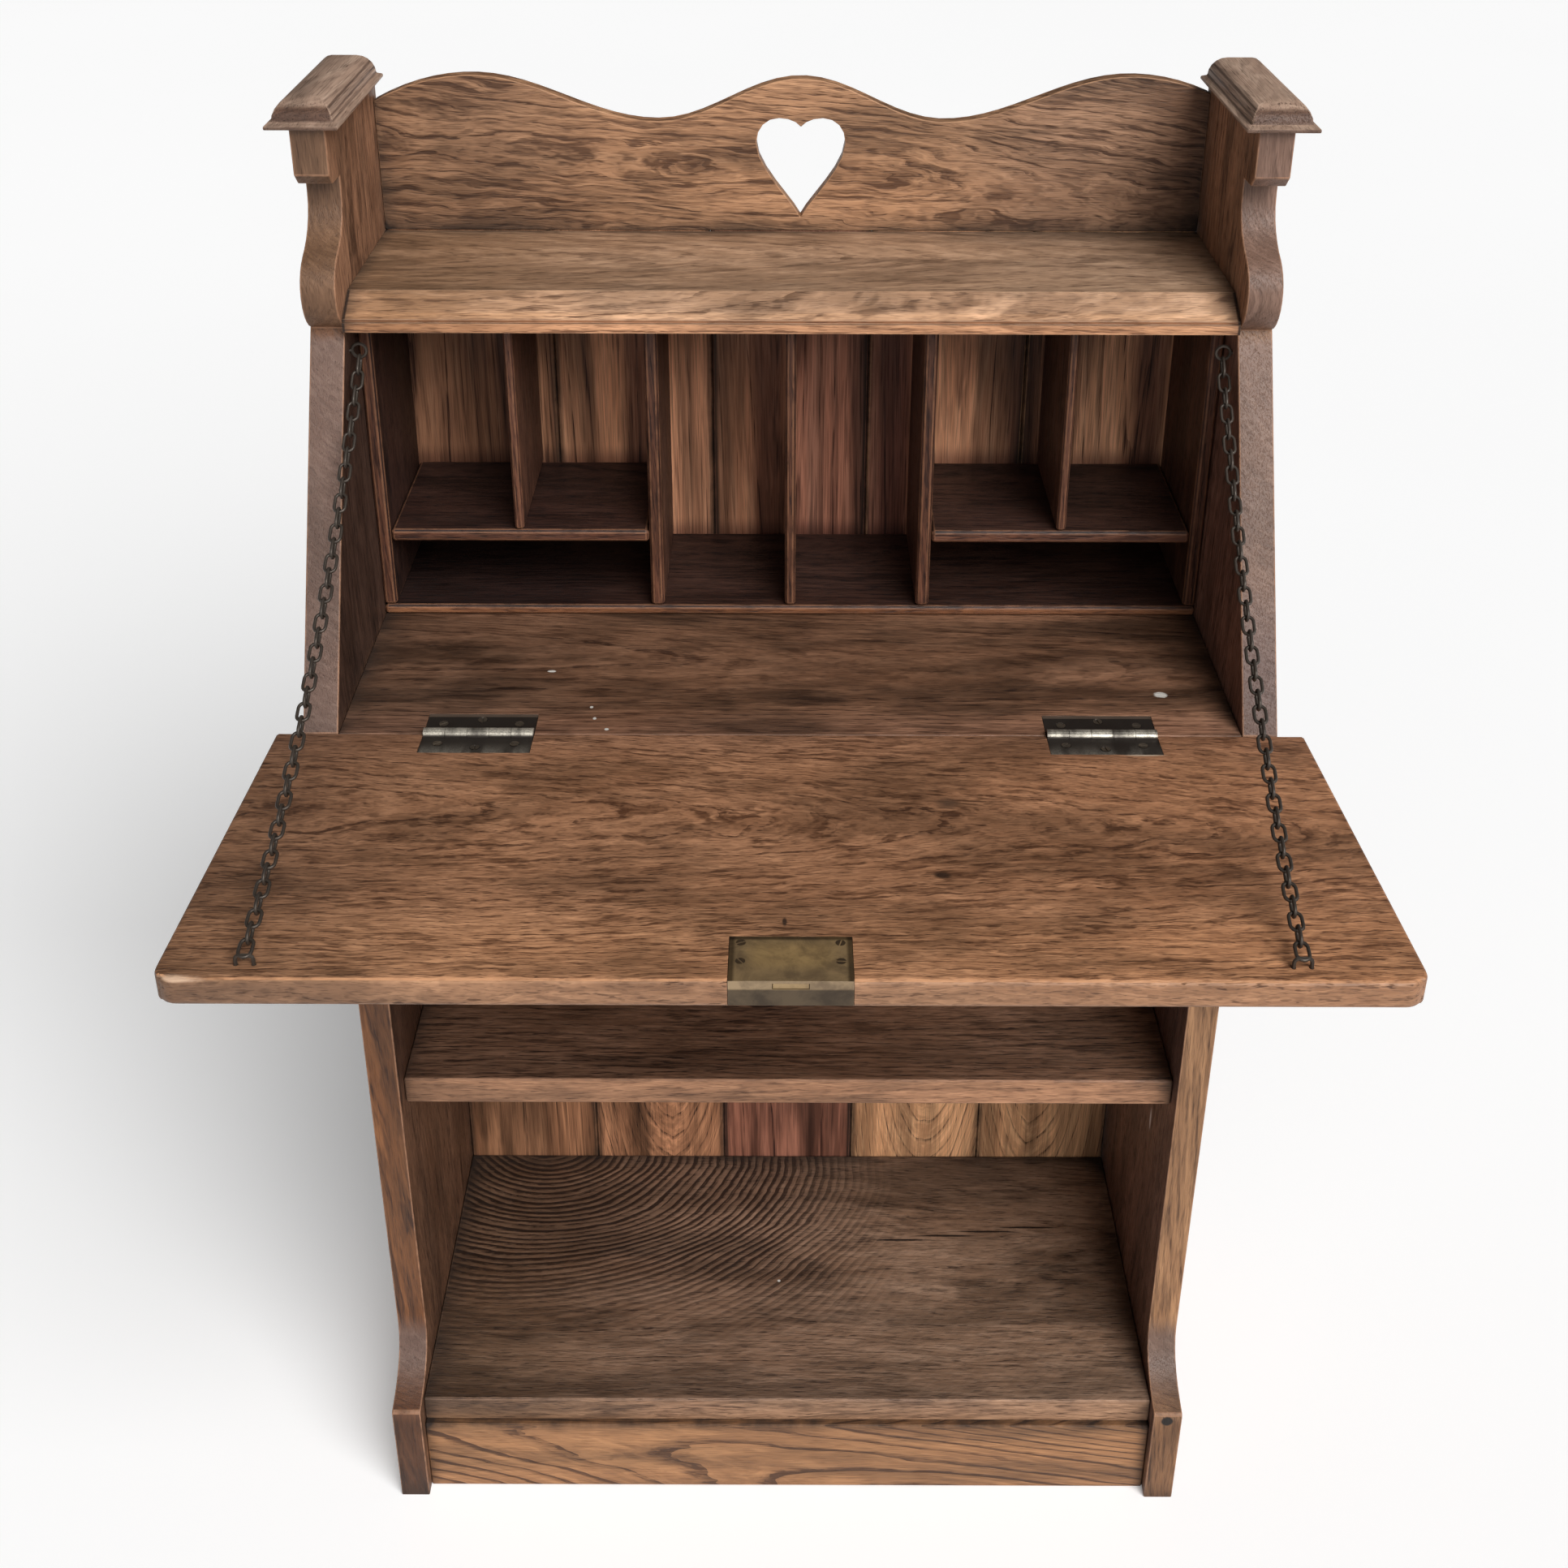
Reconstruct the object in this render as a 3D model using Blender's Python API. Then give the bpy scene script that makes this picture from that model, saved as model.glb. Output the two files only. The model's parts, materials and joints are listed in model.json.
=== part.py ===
"""Oak writing bureau with a chained fall, open pigeonholes and two open shelves.

Metres, +Z up, +X to the right, +Y to the back. Shapes are worked out with Y counted from the hinge line,
and the bureau's empty then puts the origin on the floor under the middle of the whole object.
"""
import math

import bmesh
import bpy
from mathutils import Matrix, Vector

# Clearances
GAP = 0.0003
RUN_GAP = 0.0005

# Carcass
CARCASS_WIDTH = 0.664
CARCASS_DEPTH = 0.299
SIDE_THICK = 0.024
BACK_THICK = 0.012
BACK_BOARDS = 5
BACK_BOARD_FOOT = 0.040
BED_TOP = 0.779
BED_THICK = 0.022
SIDE_ABOVE_SHELF = 0.117

# Side profile
UPRIGHT_SETBACK = 0.050
FOOT_HEIGHT = 0.104
FOOT_EDGE_RADIUS = 0.004
FOOT_OGEE_HEIGHT = 0.046
APRON_HEIGHT = 0.050
APRON_COVE_HEIGHT = 0.095
BRACKET_GAP = 0.0075
BRACKET_FORWARD = 0.0165
BRACKET_LOWER_HEIGHT = 0.026
BRACKET_UPPER_HEIGHT = 0.025
NECK_SETBACK = 0.030
NECK_HEIGHT = 0.037
BLOCK_FORWARD = 0.028
BLOCK_HEIGHT = 0.040
BLOCK_CHAMFER = 0.008

# Caps
CAP_HEIGHT = 0.016
CAP_LIP = 0.0025
CAP_FILLET_RISE = 0.0008
CAP_FILLET_SHARE = 0.26
CAP_OVER_FRONT = 0.007
CAP_OVER_OUTER = 0.015
CAP_OVER_INNER = 0.010
CAP_SLOPE_FRONT = 0.033
CAP_SLOPE_OUTER = 0.013
CAP_SLOPE_INNER = 0.018
CAP_BACK_SETBACK = 0.015
CAP_ROUND_STEPS = 5

# Top shelf
SHELF_LIP_OUT = 0.00765
SHELF_THICK = 0.022
SHELF_LIP = 0.007
SHELF_QUIRK = 0.002
SHELF_BEVEL_RUN = 0.026
FALL_TOP_GAP = 0.0022

# Gallery, heights above the shelf and places out from the middle of its pattern
GALLERY_SHIFT = 0.007
GALLERY_END_RISE = 0.102
GALLERY_CREST_RISE = 0.118
GALLERY_VALLEY_RISE = 0.084
GALLERY_MIDDLE_RISE = 0.116
GALLERY_VALLEY_OUT = 0.106
GALLERY_CREST_OUT = 0.242
HEART_TIP_RISE = 0.011
HEART_HEIGHT = 0.0755
HEART_WIDTH = 0.066
HEART_NOTCH = 0.0065

# Lower boards
LOWER_SHELF_TOP = 0.4095
LOWER_SHELF_THICK = 0.025
LOWER_SHELF_SETBACK = 0.065
BASE_TOP = 0.103
BASE_THICK = 0.025
BASE_SETBACK = 0.014
PLINTH_PROUD = 0.005
PLINTH_THICK = 0.020
PLINTH_FLOOR_GAP = 0.001
BOARD_EDGE = 0.0012

# Pigeonholes
PIGEON_SETBACK = 0.164
PIGEON_BASE_THICK = 0.008
PIGEON_END_THICK = 0.010
PIGEON_DIVIDER_THICK = 0.010
PIGEON_CENTRE_THICK = 0.008
PIGEON_UPRIGHT_THICK = 0.007
PIGEON_SHELF_THICK = 0.010
PIGEON_SLOT_HEIGHT = 0.054
PIGEON_DIVIDER_OUT = 0.100
PIGEON_EDGE = 0.0020

# Fall
FALL_OVERHANG = 0.018
FALL_LENGTH = 0.2715
FALL_THICK = 0.018
FALL_EDGE_RADIUS = 0.004
FALL_RISE = math.radians(4.0)
FALL_SLOPE = math.radians(61.0)

# Butt hinges
HINGE_LENGTH = 0.075
HINGE_INSET = 0.096
HINGE_LEAF_WIDTH = 0.025
HINGE_LEAF_THICK = 0.002
HINGE_KNUCKLE_RADIUS = 0.0045
HINGE_PIN_RADIUS = 0.0018
HINGE_KNUCKLES = 5
SCREW_HEAD_RADIUS = 0.0033
SCREW_SHANK_RADIUS = 0.0014
SCREW_LENGTH = 0.010
SCREW_PITCH = 0.026
SCREW_STAGGER = 0.005
SCREW_LINE = 0.0155

# Lock
LOCK_WIDTH = 0.069
LOCK_DEPTH = 0.041
LOCK_PLATE_THICK = 0.0015
SELVEDGE_HEIGHT = 0.016
SELVEDGE_THICK = 0.0018
CASE_WIDTH = 0.052
CASE_DEPTH = 0.0345
CASE_HEIGHT = 0.0112
CASE_WALL = 0.001
BOLT_WIDTH = 0.020
BOLT_THICK = 0.0033
BOLT_LENGTH = 0.024
SPRING_WIDTH = 0.0045
SPRING_LENGTH = 0.018
SPRING_THICK = 0.0006
STRIKE_WIDTH = 0.044
STRIKE_DEPTH = 0.014
STRIKE_THICK = 0.0015
BOLT_THROW = 0.008
KEYHOLE_RADIUS = 0.0028
KEYHOLE_SLOT_WIDTH = 0.0026
KEYHOLE_SLOT_LENGTH = 0.0085
KEYHOLE_BACK = 0.019
ESCUTCHEON_WIDTH = 0.014
ESCUTCHEON_LENGTH = 0.025
ESCUTCHEON_THICK = 0.0012

# Chains
CHAIN_SAG = 0.0287
LINK_WIDTH = 0.008
LINK_WIRE_RADIUS = 0.001
LINK_SINK = 0.0007
CHAIN_UPPER_LINKS = 13
CHAIN_BIGHT_LINKS = 3
CHAIN_LOWER_LINKS = 13
EYE_BEFORE_END = 0.0111
EYE_INWARD = 0.018
EYE_RADIUS = 0.005
EYE_WIRE_RADIUS = 0.0012
EYE_SHANK = 0.012
STAPLE_BEFORE_END = 0.0135
STAPLE_RISE = 0.006
STAPLE_LEGS = 0.010
STAPLE_SINK = 0.006
STAPLE_INSET_LEFT = 0.007
STAPLE_INSET_RIGHT = 0.026

# Colours: red, green and blue
OAK = (0.235, 0.125, 0.065)
OAK_EDGE = (0.260, 0.165, 0.110)
OAK_DARK = (0.110, 0.055, 0.030)
OAK_BACK = (0.300, 0.160, 0.080)
BRONZE = (0.060, 0.048, 0.040)
BRASS = (0.400, 0.330, 0.190)
IRON = (0.045, 0.042, 0.040)

# Places worked out from the sizes above, with Y from the hinge line and Z from the floor
INNER = CARCASS_WIDTH / 2 - SIDE_THICK
FALL_WIDTH = CARCASS_WIDTH + 2 * FALL_OVERHANG
HINGE_OUT = INNER - HINGE_INSET
STAPLE_OUT_LEFT = INNER - STAPLE_INSET_LEFT
STAPLE_OUT_RIGHT = INNER - STAPLE_INSET_RIGHT
STAPLE_FORWARD = FALL_LENGTH - STAPLE_BEFORE_END
BACK_FRONT = CARCASS_DEPTH - BACK_THICK
SLOPE_COS = math.cos(FALL_SLOPE)
SLOPE_SIN = math.sin(FALL_SLOPE)
SHELF_LIP_Y = (FALL_LENGTH + FALL_TOP_GAP) * SLOPE_COS - SHELF_LIP_OUT * SLOPE_SIN
SHELF_UNDER = BED_TOP + (FALL_LENGTH + FALL_TOP_GAP) * SLOPE_SIN + SHELF_LIP_OUT * SLOPE_COS
SHELF_TOP = SHELF_UNDER + SHELF_THICK
SIDE_TOP = SHELF_TOP + SIDE_ABOVE_SHELF
FALL_REACH = ((FALL_LENGTH - FALL_EDGE_RADIUS) * math.cos(FALL_RISE)
              + (FALL_THICK - FALL_EDGE_RADIUS) * math.sin(FALL_RISE) + FALL_EDGE_RADIUS)
MIDDLE_Y = (CARCASS_DEPTH - FALL_REACH) / 2
BOLT_TOP = -(LOCK_PLATE_THICK + GAP)
CASE_TOP = BOLT_TOP
CASE_FRONT = -(FALL_LENGTH - SELVEDGE_THICK - GAP)
CHAIN_LINKS = CHAIN_UPPER_LINKS + CHAIN_BIGHT_LINKS + CHAIN_LOWER_LINKS
EYE_BACK = (FALL_LENGTH - EYE_BEFORE_END) * SLOPE_COS + EYE_INWARD * SLOPE_SIN
EYE_UP = (FALL_LENGTH - EYE_BEFORE_END) * SLOPE_SIN - EYE_INWARD * SLOPE_COS


def clear_scene():
    for thing in list(bpy.data.objects):
        bpy.data.objects.remove(thing, do_unlink=True)


def finish(name, colour, roughness, metallic):
    """One Principled material for one piece."""
    material = bpy.data.materials.new(name)
    material.use_nodes = True
    shader = material.node_tree.nodes["Principled BSDF"]
    shader.inputs["Base Color"].default_value = (*colour, 1.0)
    shader.inputs["Roughness"].default_value = roughness
    shader.inputs["Metallic"].default_value = metallic
    return material


def wood(name, colour=OAK):
    return finish(name, colour, 0.55, 0.0)


def metal(name, colour=BRONZE):
    return finish(name, colour, 0.42, 1.0)


def empty(name, parent=None, location=(0.0, 0.0, 0.0), turn=0.0):
    axis = bpy.data.objects.new(name, None)
    axis.empty_display_size = 0.03
    axis.location = location
    axis.rotation_euler = (turn, 0.0, 0.0)
    axis.parent = parent
    bpy.context.scene.collection.objects.link(axis)
    return axis


def piece(name, shape, parent, material=None, smooth=False):
    """Turns a bmesh into a named object under its parent."""
    bmesh.ops.recalc_face_normals(shape, faces=shape.faces)
    mesh = bpy.data.meshes.new(name)
    shape.to_mesh(mesh)
    shape.free()
    if smooth:
        mesh.shade_smooth()
        mesh.set_sharp_from_angle(angle=math.radians(35))
    thing = bpy.data.objects.new(name, mesh)
    thing.parent = parent
    if material is not None:
        mesh.materials.append(material)
    bpy.context.scene.collection.objects.link(thing)
    return thing


def boolean(target, shape, operation="DIFFERENCE"):
    """Cuts a shape from a piece, or joins it on; the tool stays as a hidden wire object."""
    tool = piece(f"{target.name}_tool_{len(target.modifiers)}", shape, target.parent)
    tool.hide_render = True
    tool.display_type = "WIRE"
    change = target.modifiers.new(tool.name, "BOOLEAN")
    change.operation = operation
    change.solver = "EXACT"
    change.object = tool


def box(low, high, edge=0.0):
    shape = bmesh.new()
    bmesh.ops.create_cube(shape, size=1.0)
    low, high = Vector(low), Vector(high)
    size = high - low
    for vertex in shape.verts:
        middle = (low + high) / 2
        vertex.co = Vector(c * s for c, s in zip(vertex.co, size)) + middle
    if edge:
        bmesh.ops.bevel(shape, geom=shape.edges[:], offset=edge, segments=1, affect="EDGES")
    return shape


def prism(outline, start, end, place):
    """Extrudes a closed outline of (a, b) points; place(a, b, t) gives the point at t along the extrusion."""
    shape = bmesh.new()
    first = [shape.verts.new(place(a, b, start)) for a, b in outline]
    last = [shape.verts.new(place(a, b, end)) for a, b in outline]
    shape.faces.new(first)
    shape.faces.new(reversed(last))
    for i in range(len(outline)):
        j = (i + 1) % len(outline)
        shape.faces.new((first[j], first[i], last[i], last[j]))
    return shape


def along_x(a, b, t):
    return (t, a, b)


def along_y(a, b, t):
    return (a, t, b)


def along_z(a, b, t):
    return (a, b, t)


def bezier(p0, p1, p2, p3, steps):
    """Points of a cubic curve after its first point."""
    points = []
    for i in range(1, steps + 1):
        t = i / steps
        u = 1 - t
        weights = (u * u * u, 3 * u * u * t, 3 * u * t * t, t * t * t)
        points.append(tuple(sum(w * p[k] for w, p in zip(weights, (p0, p1, p2, p3))) for k in (0, 1)))
    return points


def arc(middle, radius, start, end, steps):
    """Points of an arc, angles in degrees, both ends included."""
    points = []
    for i in range(steps + 1):
        angle = math.radians(start + (end - start) * i / steps)
        points.append((middle[0] + radius * math.cos(angle), middle[1] + radius * math.sin(angle)))
    return points


def cylinder(radius, start, end, place, middle=(0.0, 0.0), sides=16):
    turn = 360 / sides
    return prism(arc(middle, radius, 0, 360 - turn, sides - 1), start, end, place)


def join(shapes):
    """Puts separate shapes into one bmesh."""
    whole = bmesh.new()
    for shape in shapes:
        mesh = bpy.data.meshes.new("loose")
        shape.to_mesh(mesh)
        shape.free()
        whole.from_mesh(mesh)
        bpy.data.meshes.remove(mesh)
    return whole


def tube(points, radius, closed, sides=6, across=None):
    """A round wire through points; across is a direction that the wire's bends keep square to."""
    shape = bmesh.new()
    count = len(points)
    rings = []
    for i, point in enumerate(points):
        before = points[i - 1] if closed or i else points[i]
        after = points[(i + 1) % count] if closed or i < count - 1 else points[i]
        forward = (after - before).normalized()
        side = across.normalized()
        up = forward.cross(side).normalized()
        ring = []
        for k in range(sides):
            angle = 2 * math.pi * (k + 0.5) / sides
            ring.append(shape.verts.new(point + radius * (math.cos(angle) * side + math.sin(angle) * up)))
        rings.append(ring)
    for i in range(count if closed else count - 1):
        ring, following = rings[i], rings[(i + 1) % count]
        for k in range(sides):
            m = (k + 1) % sides
            shape.faces.new((ring[k], ring[m], following[m], following[k]))
    if not closed:
        shape.faces.new(reversed(rings[0]))
        shape.faces.new(rings[-1])
    return shape


def slope_point(along, out):
    """A point beside the closed fall: along its length from the hinge line, and out from its inner face."""
    return (along * SLOPE_COS - out * SLOPE_SIN, BED_TOP + along * SLOPE_SIN + out * SLOPE_COS)


# Carcass

def side_outline():
    """The side plank seen from its end, from the foot's toe up the front and down the back."""
    upright = UPRIGHT_SETBACK
    foot_edge = FOOT_EDGE_RADIUS
    points = [(0.0, 0.0), (0.0, FOOT_HEIGHT - foot_edge)]
    points += arc((foot_edge, FOOT_HEIGHT - foot_edge), foot_edge, 150, 90, 2)
    ogee_top = FOOT_HEIGHT + FOOT_OGEE_HEIGHT
    points += bezier(points[-1], (upright * 0.6, FOOT_HEIGHT + FOOT_OGEE_HEIGHT * 0.1),
                     (upright, FOOT_HEIGHT + FOOT_OGEE_HEIGHT * 0.35), (upright, ogee_top), 7)
    apron = BED_TOP - APRON_HEIGHT
    cove = apron - APRON_COVE_HEIGHT
    points.append((upright, cove))
    points += bezier((upright, cove), (upright, cove + APRON_COVE_HEIGHT * 0.6),
                     (upright * 0.5, apron - APRON_COVE_HEIGHT * 0.1), (RUN_GAP, apron), 7)
    points.append((RUN_GAP, BED_TOP - GAP))
    notch = slope_point(FALL_LENGTH + BRACKET_GAP, -RUN_GAP)
    nose = (notch[0] - BRACKET_FORWARD, notch[1] + BRACKET_LOWER_HEIGHT)
    turn = (notch[0], nose[1] + BRACKET_UPPER_HEIGHT)
    neck = (notch[0] + NECK_SETBACK, turn[1] + NECK_HEIGHT)
    points.append(notch)
    points += bezier(notch, (notch[0] - BRACKET_FORWARD * 0.5, notch[1] + BRACKET_LOWER_HEIGHT * 0.1),
                     (nose[0], nose[1] - BRACKET_LOWER_HEIGHT * 0.45), nose, 5)
    points += bezier(nose, (nose[0], nose[1] + BRACKET_UPPER_HEIGHT * 0.48),
                     (nose[0] + BRACKET_FORWARD * 0.4, turn[1] - BRACKET_UPPER_HEIGHT * 0.2), turn, 5)
    points += bezier(turn, (turn[0] + NECK_SETBACK * 0.45, turn[1] + NECK_HEIGHT * 0.14),
                     (neck[0], neck[1] - NECK_HEIGHT * 0.54), neck, 6)
    block_front = neck[0] - BLOCK_FORWARD
    block_under = SIDE_TOP - BLOCK_HEIGHT
    points += [(neck[0], block_under), (block_front + BLOCK_CHAMFER, block_under + GAP)]
    points += [(block_front, block_under + BLOCK_CHAMFER), (block_front, SIDE_TOP)]
    points += [(CARCASS_DEPTH, SIDE_TOP), (CARCASS_DEPTH, 0.0)]
    return points


def block_front_y():
    return slope_point(FALL_LENGTH + BRACKET_GAP, -RUN_GAP)[0] + NECK_SETBACK - BLOCK_FORWARD


def make_side(name, hand, root):
    inner, outer = hand * INNER, hand * CARCASS_WIDTH / 2
    plank = piece(name, prism(side_outline(), inner, outer, along_x), root, wood(name, OAK_EDGE))
    hole = cylinder(EYE_WIRE_RADIUS + GAP, inner - hand * GAP, inner + hand * (EYE_SHANK + GAP), along_x,
                    (EYE_BACK, BED_TOP + EYE_UP + EYE_RADIUS), sides=8)
    boolean(plank, hole)


def make_cap(name, hand, root):
    """A moulded cap: a small upright lip, a fillet, then a rounded slope up to a flat top."""
    inner, outer = INNER - CAP_OVER_INNER, CARCASS_WIDTH / 2 + CAP_OVER_OUTER
    front = block_front_y() - CAP_OVER_FRONT
    back = CARCASS_DEPTH - CAP_BACK_SETBACK
    low = SIDE_TOP + GAP
    fillet = low + CAP_LIP + CAP_FILLET_RISE
    rise = low + CAP_HEIGHT - fillet
    rows = [(0.0, low), (0.0, low + CAP_LIP), (CAP_FILLET_SHARE, fillet)]
    for i in range(1, CAP_ROUND_STEPS + 1):
        angle = math.pi / 2 * i / CAP_ROUND_STEPS
        share = CAP_FILLET_SHARE + (1 - CAP_FILLET_SHARE) * (1 - math.cos(angle))
        rows.append((share, fillet + rise * math.sin(angle)))
    shape = bmesh.new()
    loops = []
    for share, z in rows:
        x0 = hand * (inner + CAP_SLOPE_INNER * share)
        x1 = hand * (outer - CAP_SLOPE_OUTER * share)
        y0 = front + CAP_SLOPE_FRONT * share
        corners = [(x0, y0), (x1, y0), (x1, back), (x0, back)]
        loops.append([shape.verts.new((x, y, z)) for x, y in corners])
    shape.faces.new(loops[0])
    shape.faces.new(loops[-1])
    for lower, upper in zip(loops, loops[1:]):
        for i in range(4):
            j = (i + 1) % 4
            shape.faces.new((lower[i], lower[j], upper[j], upper[i]))
    piece(name, shape, root, wood(name, OAK))


def make_top_shelf(root):
    lip, under, top = SHELF_LIP_Y, SHELF_UNDER, SHELF_TOP
    back = BACK_FRONT - GAP
    outline = [(back, under), (lip, under), (lip, under + SHELF_LIP)]
    outline += [(lip + SHELF_QUIRK, under + SHELF_LIP), (lip + SHELF_QUIRK, under + SHELF_LIP + SHELF_QUIRK)]
    outline += [(lip + SHELF_BEVEL_RUN, top), (back, top)]
    width = INNER - GAP
    shelf = piece("top_shelf", prism(outline, -width, width, along_x), root, wood("top_shelf"))
    strike = strike_box(GAP)
    boolean(shelf, box(*strike))
    boolean(shelf, bolt_mortise(FALL_LENGTH + BOLT_THROW + GAP))


def bolt_mortise(reach):
    """The passage of the thrown bolt, in line with the closed fall, as far as reach from the hinge line."""
    half = BOLT_WIDTH / 2 + RUN_GAP
    near = FALL_LENGTH
    shallow = -BOLT_TOP - RUN_GAP
    deep = -BOLT_TOP + BOLT_THICK + RUN_GAP
    corners = [(near, shallow), (reach, shallow), (reach, deep), (near, deep)]
    outline = [slope_point(along, out) for along, out in corners]
    return prism(outline, -half, half, along_x)


def strike_box(margin):
    """Corners of the strike plate let into the underside of the shelf, grown by a margin."""
    front = SHELF_LIP_Y + SHELF_QUIRK / 2 - margin
    low = (-STRIKE_WIDTH / 2 - margin, front, SHELF_UNDER - margin)
    high = (STRIKE_WIDTH / 2 + margin, front + STRIKE_DEPTH + 2 * margin, SHELF_UNDER + STRIKE_THICK + margin)
    return low, high


def make_strike(root):
    low, high = strike_box(0.0)
    plate = piece("lock_strike", box(low, high), root, metal("lock_strike", BRASS))
    boolean(plate, bolt_mortise(FALL_LENGTH + BOLT_THROW + BOLT_THICK))


def gallery_height(x):
    """Top of the gallery above the shelf, at x from the middle of the bureau."""
    out = abs(x - GALLERY_SHIFT)
    if out < GALLERY_VALLEY_OUT:
        swing = (1 - math.cos(math.pi * out / GALLERY_VALLEY_OUT)) / 2
        return GALLERY_MIDDLE_RISE + (GALLERY_VALLEY_RISE - GALLERY_MIDDLE_RISE) * swing
    if out < GALLERY_CREST_OUT:
        share = (out - GALLERY_VALLEY_OUT) / (GALLERY_CREST_OUT - GALLERY_VALLEY_OUT)
        swing = (1 - math.cos(math.pi * share)) / 2
        return GALLERY_VALLEY_RISE + (GALLERY_CREST_RISE - GALLERY_VALLEY_RISE) * swing
    share = (out - GALLERY_CREST_OUT) / (INNER - GALLERY_CREST_OUT)
    return GALLERY_CREST_RISE - (GALLERY_CREST_RISE - GALLERY_END_RISE) * share * share


def heart_outline():
    """The heart, from its tip up the right lobe and down the left."""
    half = HEART_WIDTH / 2
    tip = (0.0, SHELF_TOP + HEART_TIP_RISE)
    top = tip[1] + HEART_HEIGHT
    wide = (half, tip[1] + HEART_HEIGHT * 0.76)
    lobe = (half * 0.49, top)
    notch = (0.0, top - HEART_NOTCH)
    right = bezier(tip, (half * 0.18, tip[1] + HEART_HEIGHT * 0.17),
                   (half, tip[1] + HEART_HEIGHT * 0.5), wide, 6)
    right += bezier(wide, (half, tip[1] + HEART_HEIGHT * 0.90), (half * 0.79, top), lobe, 4)
    right += bezier(lobe, (half * 0.27, top), (half * 0.09, top - HEART_NOTCH * 0.4), notch, 3)
    left = [(-x, z) for x, z in reversed(right[:-1])]
    return [(x + GALLERY_SHIFT, z) for x, z in [tip] + right + left]


def make_gallery(root):
    width = INNER - GAP
    low = SHELF_TOP + GAP
    steps = 56
    outline = [(-width, low), (width, low)]
    for i in range(steps + 1):
        x = width - 2 * width * i / steps
        outline.append((x, SHELF_TOP + gallery_height(x)))
    shape = prism(outline, BACK_FRONT, CARCASS_DEPTH, along_y)
    board = piece("gallery_back", shape, root, wood("gallery_back"))
    boolean(board, prism(heart_outline(), BACK_FRONT - BACK_THICK, CARCASS_DEPTH + BACK_THICK, along_y))


def make_boards(root):
    """The plain boards of the carcass, between the sides and in front of the back boards."""
    width = INNER - GAP
    back = BACK_FRONT - GAP
    rows = [
        ("lower_shelf", LOWER_SHELF_SETBACK, back, LOWER_SHELF_TOP - LOWER_SHELF_THICK, LOWER_SHELF_TOP),
        ("base_board", BASE_SETBACK, back, BASE_TOP - BASE_THICK, BASE_TOP),
        ("plinth_board", BASE_SETBACK - PLINTH_PROUD, BASE_SETBACK - PLINTH_PROUD + PLINTH_THICK,
         PLINTH_FLOOR_GAP, BASE_TOP - BASE_THICK - GAP),
    ]
    for name, front, rear, low, high in rows:
        piece(name, box((-width, front, low), (width, rear, high), BOARD_EDGE), root, wood(name))
    pitch = 2 * width / BACK_BOARDS
    for i in range(BACK_BOARDS):
        name = f"back_board_{i + 1}"
        left = -width + i * pitch + GAP / 2
        low = (left, BACK_FRONT, BACK_BOARD_FOOT)
        high = (left + pitch - GAP, CARCASS_DEPTH, SHELF_TOP)
        piece(name, box(low, high, BOARD_EDGE), root, wood(name, OAK_BACK))


def make_bed(root):
    low = (-INNER + GAP, RUN_GAP, BED_TOP - BED_THICK)
    high = (INNER - GAP, BACK_FRONT - GAP, BED_TOP)
    bed = piece("writing_bed", box(low, high, BOARD_EDGE / 2), root, wood("writing_bed"))
    for hand in (-1, 1):
        boolean(bed, hinge_recess(hand, 1, BED_TOP))
        boolean(bed, screw_holes(hand, 1, BED_TOP))


# Pigeonholes

def make_pigeonholes(root):
    """Thin boards between the bed and the shelf, with a low slot at each end."""
    front, back = PIGEON_SETBACK, BACK_FRONT - GAP
    base_low = BED_TOP + GAP
    base_top = base_low + PIGEON_BASE_THICK
    foot, head = base_top + GAP, SHELF_UNDER - GAP
    shelf_low = base_top + PIGEON_SLOT_HEIGHT
    shelf_top = shelf_low + PIGEON_SHELF_THICK
    wall = INNER - GAP
    end_in = wall - PIGEON_END_THICK
    divider_out = PIGEON_DIVIDER_OUT + PIGEON_DIVIDER_THICK / 2
    divider_in = PIGEON_DIVIDER_OUT - PIGEON_DIVIDER_THICK / 2
    bay = (divider_out + end_in) / 2
    rows = [("pigeonhole_base", -wall, wall, base_low, base_top),
            ("pigeonhole_divider_centre", -PIGEON_CENTRE_THICK / 2, PIGEON_CENTRE_THICK / 2, foot, head)]
    for hand, word in ((-1, "left"), (1, "right")):
        rows += [
            (f"pigeonhole_end_{word}", hand * end_in, hand * wall, foot, head),
            (f"pigeonhole_divider_{word}", hand * divider_in, hand * divider_out, foot, head),
            (f"pigeonhole_shelf_{word}", hand * (divider_out + GAP), hand * (end_in - GAP),
             shelf_low, shelf_top),
            (f"pigeonhole_upright_{word}", hand * (bay - PIGEON_UPRIGHT_THICK / 2),
             hand * (bay + PIGEON_UPRIGHT_THICK / 2), shelf_top + GAP, head),
        ]
    for name, x0, x1, low, high in rows:
        edge = min(PIGEON_EDGE, abs(x1 - x0) / 4, (high - low) / 4)
        corners = ((min(x0, x1), front, low), (max(x0, x1), back, high))
        piece(name, box(*corners, edge), root, wood(name, OAK_DARK))


# Hinges, placed from the hinge axis: facing is 1 for the bed's half and -1 for the fall's half

def hinge_recess(hand, facing, level):
    """Room for a hinge leaf and the knuckles in a board whose upper face is at level."""
    leaf, sink = HINGE_LEAF_WIDTH + GAP, HINGE_LEAF_THICK + GAP
    knuckle = HINGE_KNUCKLE_RADIUS + RUN_GAP
    outline = [(-RUN_GAP, knuckle), (leaf, knuckle), (leaf, -sink)]
    outline += [(knuckle, -sink), (knuckle, -knuckle), (-RUN_GAP, -knuckle)]
    half = HINGE_LENGTH / 2 + GAP
    middle = hand * HINGE_OUT
    return prism([(facing * y, level + z) for y, z in outline], middle - half, middle + half, along_x)


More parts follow.
